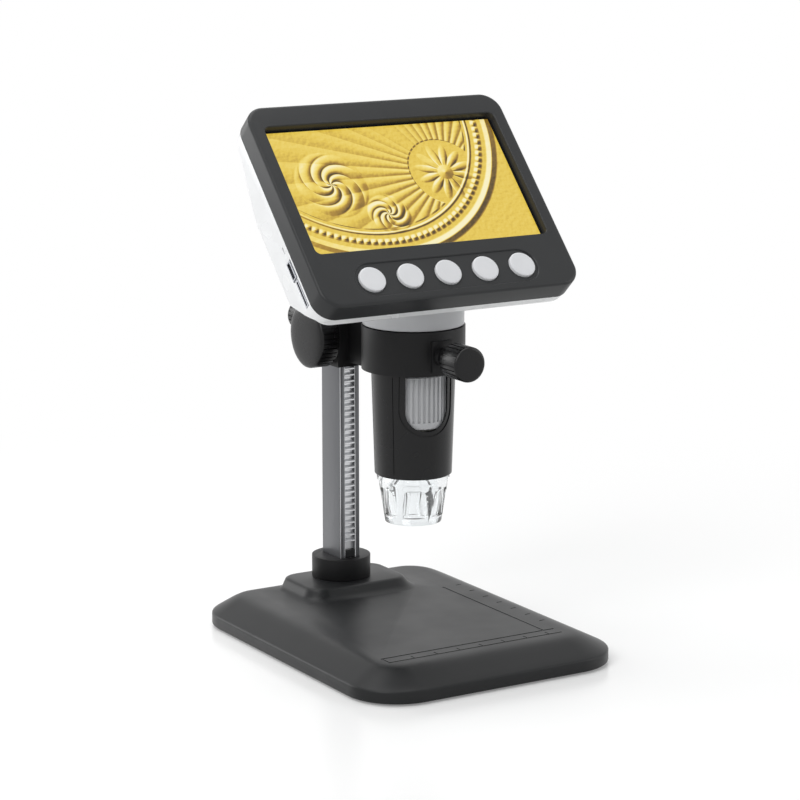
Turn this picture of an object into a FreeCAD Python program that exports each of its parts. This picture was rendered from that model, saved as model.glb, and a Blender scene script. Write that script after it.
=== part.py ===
import FreeCAD, Part
import math
import os
import re

import Sketcher
from FreeCAD import Placement, Rotation, Vector

Rule = Sketcher.Constraint

# Digital microscope with a built-in screen on a rack and pinion stand.
# X runs to the right, Y to the back where the column stands, Z up.
# The origin is on the ground under the middle of the base. Sizes are in mm.

os.makedirs("parts", exist_ok=True)
doc = FreeCAD.newDocument("microscope")

DIMENSIONS = {
    # base
    "base_width": 112.0, "base_depth": 143.5, "base_corner": 21.0,
    "shell_bottom": 0.8, "rim_top": 5.8, "stage_top": 11.4,
    "slope_side": 11.5, "slope_front": 12.75, "slope_back": 8.75, "stage_corner": 10.0,
    "crest_drop": 1.0, "crest_run": 2.2, "base_wall": 2.4, "stage_wall": 2.2,
    "pedestal_top": 15.6, "pedestal_foot_width": 52.2, "pedestal_top_width": 44.0,
    "pedestal_foot_front": 27.9, "pedestal_top_front": 33.2, "pedestal_top_back": 62.0,
    "pedestal_foot_back": 62.0, "pedestal_corner": 7.0, "pedestal_flare": 1.5,
    "floor_thick": 1.6, "floor_level": 1.2, "floor_gap": 0.3,
    "ballast_side": 18.0, "ballast_end": 15.75, "ballast_thick": 2.5,
    "pad_inset": 2.0, "pad_hole": 3.2,
    "screw_side": 12.0, "screw_end": 29.75, "screw_boss": 4.0, "boss_drop": 2.8,
    "screw_head": 2.4, "screw_shank": 1.25, "screw_hole": 1.6, "screw_thread": 1.3,
    # column, rack and collar
    "column_level": 50.1, "column_width": 8.8, "column_depth": 14.6, "column_top": 168.0,
    "rack_slot_width": 4.6, "rack_slot_depth": 3.4, "rack_width": 4.4,
    "rack_foot": 27.5, "rack_head": 165.0,
    "collar_radius": 11.8, "collar_tall": 8.8, "cap_thick": 3.0,
    "column_fit": 0.1, "seat_gap": 0.05,
    # rack and pinion
    "gear_module": 0.8, "gear_teeth": 14, "pinion_wide": 4.0,
    "tooth_thin": 0.14, "tooth_relief": 0.12,
    # carriage
    "carriage_half_width": 13.0, "carriage_bottom": 105.5, "carriage_tall": 26.0,
    "carriage_front": 29.5, "spindle_rise": 12.3, "back_plate_thick": 5.0,
    "ring_radius": 19.85, "ring_rise": 4.8, "ring_tall": 16.8, "ring_fit": 0.1,
    "arm_width": 17.0, "arm_rise": 2.0, "scope_level": -5.35,
    "bush_radius": 3.5, "spindle_radius": 2.0, "running_gap": 0.05,
    "knob_radius": 12.8, "knob_thick": 9.0, "knob_face": 23.4, "knob_rim": 2.0,
    "knob_flutes": 40, "knob_flute": 0.7, "thumb_flutes": 24, "thumb_flute": 0.6,
    "wheel_grooves": 44, "wheel_groove": 0.55,
    "pad_thick": 1.0, "pad_tall": 20.0, "pad_deep": 10.0,
    # thumb screws
    "thumb_radius": 6.7, "thumb_long": 11.3, "stud_radius": 2.0, "stud_gap": 0.1,
    "thumb_neck_radius": 3.4, "tip_thick": 1.5, "tip_gap": 0.3,
    "lock_face": 81.5, "clamp_face": -45.6, "lug_half_width": 4.3, "boss_radius": 3.6,
    # barrel, cap and optics
    "barrel_top_radius": 16.15, "barrel_foot_radius": 14.85, "barrel_foot": 69.3,
    "barrel_head": 134.0, "barrel_bore": 13.5, "wheel_bore": 14.5, "window_turn": 12.0,
    "window_foot": 88.0, "window_head": 109.4, "window_width": 18.6,
    "wheel_radius": 14.2, "wheel_inner": 12.2, "wheel_foot": 88.6, "wheel_head": 109.0,
    "holder_radius": 12.1, "holder_bore": 8.0, "holder_foot": 79.0, "holder_head": 103.0,
    "cap_lip_radius": 14.0, "cap_foot_radius": 10.9, "cap_foot": 50.5, "cap_lip": 2.2,
    "cap_spigot": 2.2, "spigot_fit": 0.1, "cap_bore": 9.7,
    "cap_panels": 6, "panel_foot": 3.0, "panel_head": 14.2, "panel_inset": 1.0, "panel_rib": 2.0,
    "panel_round": 2.5,
    # head, measured from the middle of the screen opening
    "head_across": 112.6, "head_up": 38.5, "head_down": 52.6, "head_corner": 8.0,
    "head_level": -1.26, "head_height": 181.45, "head_tilt": 43.0,
    "bezel_deep": 9.2, "bezel_face": 3.2, "bezel_wall": 2.2,
    "opening_width": 101.7, "opening_height": 58.1,
    "shell_deep": 22.4, "shell_wall": 2.0,
    "button_row": -42.3, "button_pitch": 16.43, "button_radius": 5.3, "button_fit": 0.1,
    "pill_width": 79.0, "pill_height": 14.2, "pill_deep": 0.5, "button_proud": 0.6,
    "button_travel": 0.7,
    "neck_radius": 19.4, "neck_foot": 127.4,
    "glass_side": 1.1, "glass_lap": 2.95, "glass_thick": 1.1, "panel_thick": 2.6,
    "board_width": 100.0, "board_height": 68.0, "board_drop": 10.0, "board_thick": 1.6,
    "spacer_tall": 2.5, "spacer_radius": 2.5, "spacer_across": 44.0,
    "battery_width": 56.0, "battery_height": 34.0, "battery_thick": 6.5,
    "port_row": -27.5, "card_row": -38.0, "sound_row": -18.5,
    "post_across": 44.0, "post_row": 47.2, "post_radius": 2.7,
    "back_crest": 2.0, "back_foot": 36.0, "back_edge": 2.0, "back_slope": 4.5,
    "chin_row": 47.0, "chin_deep": 5.0,
}

# Sizes that follow from the ones above
FOLLOWING = {
    "spindle_level": "=carriage_bottom + spindle_rise",
    "spindle_depth": "=column_level - column_depth / 2 + gear_module - gear_module * gear_teeth / 2",
    "ring_bottom": "=carriage_bottom + ring_rise",
    "ring_bore": "=barrel_top_radius + ring_fit",
    "arm_bottom": "=carriage_bottom + arm_rise",
    "glass_width": "=head_across - 2 * bezel_wall - 2 * glass_side",
    "glass_height": "=opening_height + 2 * glass_lap",
}

sheet = doc.addObject("Spreadsheet::Sheet", "dims")
for row, (alias, value) in enumerate(list(DIMENSIONS.items()) + list(FOLLOWING.items()), start=1):
    sheet.set("A%d" % row, alias)
    sheet.set("B%d" % row, str(value))
    sheet.setAlias("B%d" % row, alias)
doc.recompute()

WORDS = re.compile(r"\b([a-z]+(?:_[a-z]+)+)\b")
nodes = {}


def formula(text):
    """Point every size name in a formula at the sheet."""
    return WORDS.sub(r"dims.\1", str(text))


def size(name):
    """Read one size from the sheet."""
    return float(sheet.get(name))


def bind(thing, **formulas):
    for key, text in formulas.items():
        thing.setExpression(key, formula(text))
    return thing


def seat(thing, x, y, z):
    """Tie the position of an object to formulas."""
    for letter, text in zip("xyz", (x, y, z)):
        thing.setExpression("Placement.Base." + letter, formula(text))
    return thing


TURNS = {
    "z": Rotation(),
    "x": Rotation(Vector(0, 1, 0), 90),
    "y": Rotation(Vector(1, 0, 0), -90),
}


def rod(name, radius, length, x="0", y="0", z="0", along="z"):
    """A cylinder that starts at a point and runs along an axis."""
    thing = doc.addObject("Part::Cylinder", name)
    thing.Placement = Placement(Vector(), TURNS[along])
    bind(thing, Radius=radius, Height=length)
    return seat(thing, x, y, z)


def cone(name, foot_radius, head_radius, length, x="0", y="0", z="0", along="z"):
    thing = doc.addObject("Part::Cone", name)
    thing.Placement = Placement(Vector(), TURNS[along])
    bind(thing, Radius1=foot_radius, Radius2=head_radius, Height=length)
    return seat(thing, x, y, z)


def block(name, across, along, tall, x="0", y="0", z="0"):
    """A box centred on x and y that starts at z."""
    thing = doc.addObject("Part::Box", name)
    bind(thing, Length=across, Width=along, Height=tall)
    return seat(thing, "%s - (%s) / 2" % (x, across), "%s - (%s) / 2" % (y, along), z)


def flutes(name, count, ring_radius, groove, length, x="0", y="0", z="0", along="z"):
    """A ring of round grooving tools that starts at a point and runs along an axis."""
    tools = []
    for step in range(int(size(count))):
        turn = "%d * 360 / %s" % (step, count)
        tools.append(rod(name + "_tool", groove, length, "%s * cos(%s)" % (ring_radius, turn),
                         "%s * sin(%s)" % (ring_radius, turn)))
    ring_of_tools = doc.addObject("Part::Compound", name)
    ring_of_tools.Links = tools
    ring_of_tools.Placement = Placement(Vector(), TURNS[along])
    return seat(ring_of_tools, x, y, z)


def fuse(name, *things):
    joined = doc.addObject("Part::MultiFuse", name)
    joined.Shapes = list(things)
    joined.Refine = True
    return joined


def cut(name, body, *tools):
    result = doc.addObject("Part::Cut", name)
    result.Base = body
    result.Tool = tools[0] if len(tools) == 1 else fuse(name + "_tools", *tools)
    result.Refine = True
    return result


def common(name, first, second):
    result = doc.addObject("Part::MultiCommon", name)
    result.Shapes = [first, second]
    return result


def group(name, things):
    """Like pieces kept as separate solids in one node."""
    result = doc.addObject("Part::Compound", name)
    result.Links = list(things)
    return result


def tilt(thing):
    """Carry a head piece from screen coordinates to its place on the stand."""
    thing.Placement = Placement(Vector(), Rotation(Vector(1, 0, 0), 90 - size("head_tilt")))
    seat(thing, "0", "head_level", "head_height")
    bind(thing, **{"Placement.Rotation.Angle": "90 - head_tilt"})
    return thing


def head_piece(name, thing):
    """A piece drawn in screen coordinates: x across, y up the screen, z out of it."""
    nodes[name] = tilt(group(name, [thing]))
    return nodes[name]


def plane(body, role):
    return [f for f in body.Origin.OriginFeatures if f.Role == role][0]


def sketch_on(body, name, role="XY_Plane", offset="0"):
    sketch = body.newObject("Sketcher::SketchObject", name)
    sketch.AttachmentSupport = [(plane(body, role), "")]
    sketch.MapMode = "FlatFace"
    sketch.setExpression("AttachmentOffset.Base.z", formula(offset))
    return sketch


def rounded_rectangle(sketch, left, right, front, back, radius, front_behind=False):
    """A rectangle with equal round corners. The four sides are named by their distance from
    the origin. The front side lies behind the origin when front_behind is set."""
    start = 90 if front_behind else -50
    middle = start + 50
    sides = [((-42, start), (42, start)), ((50, start + 8), (50, start + 92)),
             ((42, start + 100), (-42, start + 100)), ((-50, start + 92), (-50, start + 8))]
    corners = [(42, middle - 42, 270), (42, middle + 42, 0),
               (-42, middle + 42, 90), (-42, middle - 42, 180)]
    for first, last in sides:
        sketch.addGeometry(Part.LineSegment(Vector(*first, 0), Vector(*last, 0)), False)
    for centre_x, centre_y, turn in corners:
        circle = Part.Circle(Vector(centre_x, centre_y, 0), Vector(0, 0, 1), 8)
        arc = Part.ArcOfCircle(circle, math.radians(turn), math.radians(turn + 90))
        sketch.addGeometry(arc, False)
    for side in range(4):
        sketch.addConstraint(Rule("Tangent", side, 2, 4 + side, 1))
        sketch.addConstraint(Rule("Tangent", 4 + side, 2, (side + 1) % 4, 1))
    for side, kind in enumerate(("Horizontal", "Vertical", "Horizontal", "Vertical")):
        sketch.addConstraint(Rule(kind, side))
    for arc in (5, 6, 7):
        sketch.addConstraint(Rule("Equal", 4, arc))
    front_ends = (-1, 1, 0, 1) if front_behind else (0, 1, -1, 1)
    measures = [("DistanceX", (3, 1, -1, 1), left), ("DistanceX", (-1, 1, 1, 1), right),
                ("DistanceY", front_ends, front), ("DistanceY", (-1, 1, 2, 1), back)]
    for kind, ends, text in measures:
        index = sketch.addConstraint(Rule(kind, *ends, 50.0))
        sketch.setExpression("Constraints[%d]" % index, formula(text))
    index = sketch.addConstraint(Rule("Radius", 4, 8.0))
    sketch.setExpression("Constraints[%d]" % index, formula(radius))


def outline(sketch, points):
    """A closed outline of straight lines. Each point is a pair of formulas that gives its
    distance right of and above the origin. A minus in front of a name, a number or a bracket
    puts it to the left or below."""
    count = len(points)
    rough = []
    for across, up in points:
        rough.append(Vector(rough_value(across), rough_value(up), 0))
    for index in range(count):
        line = Part.LineSegment(rough[index], rough[(index + 1) % count])
        sketch.addGeometry(line, False)
    for index in range(count):
        sketch.addConstraint(Rule("Coincident", index, 2, (index + 1) % count, 1))
    for index, (across, up) in enumerate(points):
        for kind, text in (("DistanceX", across), ("DistanceY", up)):
            negative = text.startswith("-")
            ends = (index, 1, -1, 1) if negative else (-1, 1, index, 1)
            constraint = sketch.addConstraint(Rule(kind, *ends, abs(rough_value(text)) or 0.0))
            sketch.setExpression("Constraints[%d]" % constraint, formula(text.lstrip("-")))


def rough_value(text):
    """A first value for a point, summed from its size names and numbers."""
    negative = text.startswith("-")
    plain = text.lstrip("-").strip("()")
    total = 0.0
    sign = 1.0
    for word in plain.split():
        if word in "+-":
            sign = 1.0 if word == "+" else -1.0
        else:
            total += sign * (size(word) if word in DIMENSIONS else float(word))
    return -total if negative else total


def pad(body, name, sketch, length, **extra):
    feature = body.newObject("PartDesign::Pad", name)
    feature.Profile = sketch
    bind(feature, Length=length)
    for key, value in extra.items():
        setattr(feature, key, value)
    return feature


def pocket(body, name, sketch, length, **extra):
    feature = body.newObject("PartDesign::Pocket", name)
    feature.Profile = sketch
    bind(feature, Length=length)
    for key, value in extra.items():
        setattr(feature, key, value)
    return feature


def loft(body, name, first, *sections, adds=True):
    kind = "PartDesign::AdditiveLoft" if adds else "PartDesign::SubtractiveLoft"
    feature = body.newObject(kind, name)
    feature.Profile = first
    feature.Sections = list(sections)
    feature.Ruled = True
    return feature


# Base: a moulded shell, its floor plate, the steel ballast, rubber sheet and screws.
shell = doc.addObject("PartDesign::Body", "shell_body")
half_base = ("base_width / 2", "base_width / 2", "base_depth / 2", "base_depth / 2")
low = sketch_on(shell, "shell_low", offset="shell_bottom")
rounded_rectangle(low, *half_base, "base_corner")
pad(shell, "shell_rim", low, "rim_top - shell_bottom")
slope_foot = sketch_on(shell, "slope_foot", offset="rim_top")
rounded_rectangle(slope_foot, *half_base, "base_corner")
slope_head = sketch_on(shell, "slope_head", offset="stage_top")
stage_sides = ("base_width / 2 - slope_side", "base_width / 2 - slope_side",
               "base_depth / 2 - slope_front", "base_depth / 2 - slope_back")
rounded_rectangle(slope_head, *stage_sides, "stage_corner")
crest = sketch_on(shell, "slope_crest", offset="stage_top - crest_drop")
rounded_rectangle(crest, *[side + " + crest_run" for side in stage_sides], "stage_corner + crest_run")
loft(shell, "shell_slope", slope_foot, crest, slope_head)
foot = sketch_on(shell, "pedestal_foot", offset="stage_top - 0.01")
rounded_rectangle(foot, "pedestal_foot_width / 2", "pedestal_foot_width / 2",
                  "pedestal_foot_front", "pedestal_foot_back", "pedestal_corner + 2", True)
waist = sketch_on(shell, "pedestal_waist", offset="stage_top + pedestal_flare")
rounded_rectangle(waist, "pedestal_top_width / 2 + pedestal_flare",
                  "pedestal_top_width / 2 + pedestal_flare", "pedestal_top_front - pedestal_flare",
                  "pedestal_top_back", "pedestal_corner + 1", True)
head = sketch_on(shell, "pedestal_head", offset="pedestal_top")
rounded_rectangle(head, "pedestal_top_width / 2", "pedestal_top_width / 2",
                  "pedestal_top_front", "pedestal_top_back", "pedestal_corner", True)
loft(shell, "shell_pedestal", foot, waist, head)
hollow = sketch_on(shell, "hollow_low", offset="shell_bottom")
inner_base = ("base_width / 2 - base_wall", "base_width / 2 - base_wall",
              "base_depth / 2 - base_wall", "base_depth / 2 - base_wall")
rounded_rectangle(hollow, *inner_base, "base_corner - base_wall")
pocket(shell, "hollow_rim", hollow, "rim_top - shell_bottom - 0.6", Reversed=True)
inner_foot = sketch_on(shell, "inner_foot", offset="rim_top - 0.7")
rounded_rectangle(inner_foot, "base_width / 2 - base_wall - 0.6", "base_width / 2 - base_wall - 0.6",
                  "base_depth / 2 - base_wall - 0.6", "base_depth / 2 - base_wall - 0.6",
                  "base_corner - base_wall - 0.6")
inner_head = sketch_on(shell, "inner_head", offset="stage_top - stage_wall")
rounded_rectangle(inner_head, *[side + " - stage_wall" for side in stage_sides], "stage_corner")
loft(shell, "hollow_slope", inner_foot, inner_head, adds=False)

screw_spots = [(a + "(base_width / 2 - screw_side)", b + "(base_depth / 2 - screw_end)")
               for a in ("-", "") for b in ("-", "")]
floor_top = "floor_level + floor_thick"
bosses = [rod("shell_boss", "screw_boss", "stage_top - boss_drop - floor_level - floor_thick",
              x, y, floor_top) for x, y in screw_spots]
boss_holes = [rod("boss_hole", "screw_thread", "4", x, y, floor_top) for x, y in screw_spots]
column_hole = block("column_hole", "column_width + 2 * seat_gap", "column_depth + 2 * seat_gap",
                    "20", "0", "column_level", "floor_level")
nodes["base_shell"] = cut("base_shell", fuse("shell_solid", shell, *bosses), column_hole, *boss_holes)

plate = doc.addObject("PartDesign::Body", "floor_body")
plate_sketch = sketch_on(plate, "floor_outline", offset="floor_level")
inner_plate = tuple(text + " - floor_gap" for text in inner_base)
rounded_rectangle(plate_sketch, *inner_plate, "base_corner - base_wall - floor_gap")
pad(plate, "floor_pad", plate_sketch, "floor_thick")
plate_holes = [rod("plate_hole", "screw_hole", "floor_thick", x, y, "floor_level")
               for x, y in screw_spots]
bolt_access = rod("bolt_access", "4.5", "floor_thick", "0", "column_level", "floor_level")
nodes["floor_plate"] = cut("floor_plate", plate, bolt_access, *plate_holes)

ballast = block("ballast_sheet", "base_width - 2 * ballast_side", "base_depth - 2 * ballast_end",
                "ballast_thick", "0", "2", floor_top)
ballast_hole = rod("ballast_hole", "2.1", "ballast_thick", "0", "column_level", floor_top)
nodes["ballast_plate"] = cut("ballast_plate", ballast, ballast_hole)
pad_sheet = doc.addObject("PartDesign::Body", "pad_body")
pad_outline = sketch_on(pad_sheet, "pad_outline")
rounded_rectangle(pad_outline, *[side + " - pad_inset" for side in inner_plate],
                  "base_corner - base_wall - floor_gap - pad_inset")
pad(pad_sheet, "pad_thickness", pad_outline, "floor_level")
pad_holes = [rod("pad_hole", "pad_hole", "floor_level", x, y, "0") for x, y in screw_spots]
pad_access = rod("pad_access", "5", "floor_level", "0", "column_level", "0")
nodes["base_pad"] = cut("base_pad", pad_sheet, pad_access, *pad_holes)


nodes["floor_screws"] = group("floor_screws", [
    fuse("floor_screw", rod("floor_screw_head", "screw_head", "0.9", x, y, "floor_level - 0.9"),
         rod("floor_screw_shank", "screw_shank", "floor_thick + 3.6", x, y, "floor_level"))
    for x, y in screw_spots])

# Column: an aluminium bar with a slot for the rack, standing on the ballast.
bar = block("column_bar", "column_width", "column_depth",
            "column_top - floor_level - floor_thick - ballast_thick", "0", "column_level",
            "floor_level + floor_thick + ballast_thick")
slot = block("rack_slot", "rack_slot_width", "rack_slot_depth", "column_top", "0",
             "column_level - column_depth / 2 + rack_slot_depth / 2", "stage_top + 4")
bolt_hole = rod("column_thread", "1.75", "14", "0", "column_level",
                "floor_level + floor_thick + ballast_thick")
nodes["column"] = cut("column", bar, slot, bolt_hole)
nodes["column_bolt"] = fuse(
    "column_bolt",
    rod("bolt_head", "3.8", "floor_thick", "0", "column_level", "floor_level"),
    rod("bolt_shank", "1.7", "ballast_thick + 12", "0", "column_level",
        "floor_level + floor_thick"))
nodes["column_collar"] = cut(
    "column_collar",
    rod("collar_round", "collar_radius", "collar_tall", "0", "column_level", "pedestal_top"),
    block("collar_hole", "column_width + 2 * seat_gap", "column_depth + 2 * seat_gap",
          "collar_tall", "0", "column_level", "pedestal_top"))
nodes["column_cap"] = block("column_cap", "column_width", "column_depth", "cap_thick", "0",
                            "column_level", "column_top")
nodes["rack_stop"] = block("rack_stop", "rack_slot_width - 0.1", "rack_slot_depth - 0.1",
                           "rack_foot - pedestal_top - collar_tall", "0",
                           "column_level - column_depth / 2 + rack_slot_depth / 2",
                           "pedestal_top + collar_tall")


def face_of(points, height, x):
    """Stand a flat outline of (y, z) pairs on the plane across X and give it a width."""
    wire = Part.makePolygon([Vector(x, y, z) for y, z in points + points[:1]])
    return Part.Face(wire).extrude(Vector(height, 0, 0))


# Rack and pinion. The teeth follow from the module, so both are drawn from the sheet.
module = size("gear_module")
pitch = math.pi * module
pitch_radius = module * size("gear_teeth") / 2
column_front = size("column_level") - size("column_depth") / 2
pitch_line = column_front + module
spindle_y = pitch_line - pitch_radius
half_tooth = pitch / 4 - size("tooth_thin")
slant = math.tan(math.radians(20))


def rack_shape():
    back = column_front + size("rack_slot_depth")
    root = pitch_line + module * 1.25
    tip = column_front + size("tooth_relief")
    start = size("rack_foot")
    stop = size("rack_head")
    level = size("spindle_level")
    first = math.ceil((start + pitch - level) / pitch - 0.5) + 0.5
    last = math.floor((stop - pitch - level) / pitch - 0.5) + 0.5
    points = [(back, start), (root, start)]
    for step in range(int(last - first) + 1):
        middle = level + (first + step) * pitch
        wide = half_tooth + (root - pitch_line) * slant
        thin = half_tooth - (pitch_line - tip) * slant
        points += [(root, middle - wide), (tip, middle - thin), (tip, middle + thin),
                   (root, middle + wide)]
    points += [(root, stop), (back, stop)]
    width = size("rack_width")
    return face_of(points, width, -width / 2)


def pinion_shape():
    teeth = int(size("gear_teeth"))
    tip = pitch_radius + module - size("tooth_relief")
    root = pitch_radius - module * 1.25
    points = []
    for tooth in range(teeth):
        turn = 2 * math.pi * tooth / teeth
        base = half_tooth * 1.35
        thin = half_tooth * 0.42
        for radius, half in ((root, -base), (pitch_radius, -half_tooth), (tip, -thin),
                             (tip, thin), (pitch_radius, half_tooth), (root, base)):
            angle = turn + half / radius
            points.append((spindle_y + radius * math.cos(angle),
                           size("spindle_level") + radius * math.sin(angle)))
    width = size("pinion_wide")
    return face_of(points, width, -width / 2)


def drawn(name, shape):
    thing = doc.addObject("Part::Feature", name)
    thing.Shape = shape
    return thing


nodes["rack"] = drawn("rack", rack_shape())
shaft_hole = rod("pinion_hole", "spindle_radius", "40", "-20", "spindle_depth", "spindle_level", "x")
nodes["pinion"] = cut("pinion", drawn("pinion_teeth", pinion_shape()), shaft_hole)
nodes["spindle"] = rod("spindle", "spindle_radius", "2 * knob_face - 6", "-(knob_face - 3)",
                       "spindle_depth", "spindle_level", "x")
for hand, side in (("left", -1), ("right", 1)):
    outer = "-knob_face" if side < 0 else "knob_face - knob_thick"
    disc = rod("knob_disc", "knob_radius", "knob_thick", outer, "spindle_depth", "spindle_level", "x")
    bore = rod("knob_bore", "spindle_radius", "knob_thick - 3",
               "-knob_face + 3" if side < 0 else "knob_face - knob_thick", "spindle_depth",
               "spindle_level", "x")
    dish = cone("knob_dish", "knob_radius - 3.5" if side > 0 else "knob_radius - 2",
                "knob_radius - 2" if side > 0 else "knob_radius - 3.5", "0.7",
                "-knob_face" if side < 0 else "knob_face - 0.7", "spindle_depth",
                "spindle_level", "x")
    rim = "-knob_face + knob_rim / 2" if side < 0 else "knob_face - knob_thick + knob_rim / 2"
    grooves = flutes("knob_flutes_" + hand, "knob_flutes", "(knob_radius + knob_flute * 0.4)",
                     "knob_flute", "knob_thick - knob_rim", rim, "spindle_depth", "spindle_level", "x")
    nodes["focus_knob_" + hand] = cut("focus_knob_" + hand, disc, bore, dish, grooves)

# Carriage: one casting that holds the column channel, the pinion and the ring.
middle_y = "(carriage_front + column_level + column_depth / 2 + column_fit) / 2"
deep = "(column_level + column_depth / 2 + column_fit - carriage_front)"
body_block = block("carriage_box", "2 * carriage_half_width", deep, "carriage_tall", "0",
                   middle_y, "carriage_bottom")
arm = block("arm_bar", "arm_width", "carriage_front - scope_level + 2",
            "ring_bottom + ring_tall - arm_bottom", "0", "(carriage_front + scope_level) / 2 + 1",
            "arm_bottom")
ring = rod("ring_round", "ring_radius", "ring_tall", "0", "scope_level", "ring_bottom")
lug = block("ring_lug", "2 * lug_half_width", "6", "12", "0",
            "scope_level - ring_radius + 2.2", "spindle_level - 6")
boss = rod("lug_boss", "boss_radius", "4", "0", "scope_level - ring_radius - 3.4", "spindle_level", "y")
casting = fuse("carriage_solid", body_block, arm, ring, lug, boss)
channel = block("channel", "column_width + 2 * column_fit", deep, "60", "0",
                "column_level - column_depth / 2 - column_fit + %s / 2" % deep, "carriage_bottom - 5")
pads_room = block("pads_room", "column_width + 2 * column_fit + 2 * pad_thick", "pad_deep",
                  "pad_tall", "0", "column_level", "carriage_bottom + 3")
bore = rod("ring_hole", "ring_bore", "60", "0", "scope_level", "arm_bottom - 10")
gear_room = rod("gear_room", "gear_module * gear_teeth / 2 + gear_module + 0.6", "pinion_wide + 1.2",
                "-(pinion_wide / 2 + 0.6)", "spindle_depth", "spindle_level", "x")
spindle_hole = rod("spindle_hole", "bush_radius", "2 * carriage_half_width + 4",
                   "-carriage_half_width - 2", "spindle_depth", "spindle_level", "x")
clamp_hole = rod("clamp_hole", "stud_radius + stud_gap", "14", "0",
                 "scope_level - ring_radius - 5", "spindle_level", "y")
back_spots = [(a, b) for a in ("-", "") for b in ("3.4", "carriage_tall - 3.4")]
back_threads = [rod("back_thread", "1.2", "8", a + "(carriage_half_width - 3.4)",
                    "column_level + column_depth / 2 + column_fit - 8", "carriage_bottom + " + b, "y")
                for a, b in back_spots]
nodes["carriage"] = cut("carriage", casting, channel, pads_room, bore, gear_room, spindle_hole,
                        clamp_hole, *back_threads)

back_face = "column_level + column_depth / 2 + column_fit"
back_block = block("back_block", "2 * carriage_half_width", "back_plate_thick", "carriage_tall", "0",
                   "%s + back_plate_thick / 2" % back_face, "carriage_bottom")
back_boss = rod("back_boss", "6", "back_plate_thick + 4", "0", back_face, "spindle_level", "y")
lock_hole = rod("lock_hole", "stud_radius + stud_gap", "30", "0", "%s - 1" % back_face,
                "spindle_level", "y")
back_holes = [rod("back_hole", "1.5", "back_plate_thick", a + "(carriage_half_width - 3.4)", back_face,
                  "carriage_bottom + " + b, "y") for a, b in back_spots]
nodes["carriage_back"] = cut("carriage_back", fuse("back_solid", back_block, back_boss), lock_hole,
                             *back_holes)
nodes["carriage_screws"] = group("carriage_screws", [
    fuse("back_screw",
         rod("back_screw_shank", "1.15", "back_plate_thick + 6", a + "(carriage_half_width - 3.4)",
             "%s - 6" % back_face, "carriage_bottom + " + b, "y"),
         rod("back_screw_head", "2.3", "1.4", a + "(carriage_half_width - 3.4)",
             "%s + back_plate_thick" % back_face, "carriage_bottom + " + b, "y"))
    for a, b in back_spots])
nodes["slide_pads"] = group("slide_pads", [
    block("slide_pad", "pad_thick", "pad_deep", "pad_tall",
          sign + "(column_width / 2 + column_fit + pad_thick / 2)", "column_level",
          "carriage_bottom + 3") for sign in ("-", "")])
nodes["spindle_bushes"] = group("spindle_bushes", [
    cut("bush", rod("bush_round", "bush_radius", "carriage_half_width - pinion_wide / 2 - 0.6", x,
                    "spindle_depth", "spindle_level", "x"),
        rod("bush_bore", "spindle_radius + running_gap", "carriage_half_width", x, "spindle_depth",
            "spindle_level", "x"))
    for x in ("-carriage_half_width", "pinion_wide / 2 + 0.6")])

# Thumb screws: each has a brass tip, a stud and a round knob.
nodes["lock_tip"] = rod("lock_tip", "stud_radius", "tip_thick", "0",
                        "column_level + column_depth / 2 + tip_gap", "spindle_level", "y")
nodes["lock_stud"] = rod("lock_stud", "stud_radius",
                         "lock_face - 3 - (column_level + column_depth / 2 + tip_gap + tip_thick)",
                         "0", "column_level + column_depth / 2 + tip_gap + tip_thick",
                         "spindle_level", "y")
nodes["lock_knob"] = cut(
    "lock_knob",
    fuse("lock_knob_solid",
         rod("lock_head", "thumb_radius", "thumb_long", "0", "lock_face - thumb_long",
             "spindle_level", "y"),
         rod("lock_neck", "thumb_neck_radius", "3", "0", "lock_face - thumb_long - 3",
             "spindle_level", "y")),
    rod("lock_bore", "stud_radius", "thumb_long", "0", "lock_face - 3 - thumb_long",
        "spindle_level", "y"),
    flutes("lock_flutes", "thumb_flutes", "(thumb_radius + thumb_flute * 0.4)", "thumb_flute",
           "thumb_long - 1.6", "0", "lock_face - thumb_long + 0.6", "spindle_level", "y"))
tip_back = "scope_level - barrel_top_radius - tip_gap - tip_thick"
nodes["clamp_tip"] = rod("clamp_tip", "stud_radius", "tip_thick", "0", tip_back, "spindle_level", "y")
nodes["clamp_stud"] = rod("clamp_stud", "stud_radius", "%s - clamp_face - 3" % tip_back, "0",
                          "clamp_face + 3", "spindle_level", "y")
nodes["clamp_knob"] = cut(
    "clamp_knob",
    fuse("clamp_knob_solid",
         rod("clamp_head", "thumb_radius", "thumb_long", "0", "clamp_face", "spindle_level", "y"),
         rod("clamp_neck", "thumb_neck_radius", "3", "0", "clamp_face + thumb_long",
             "spindle_level", "y")),
    rod("clamp_bore", "stud_radius", "thumb_long", "0", "clamp_face + 3", "spindle_level", "y"),
    flutes("clamp_flutes", "thumb_flutes", "(thumb_radius + thumb_flute * 0.4)", "thumb_flute",
           "thumb_long - 1.6", "0", "clamp_face + 1", "spindle_level", "y"))

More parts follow.
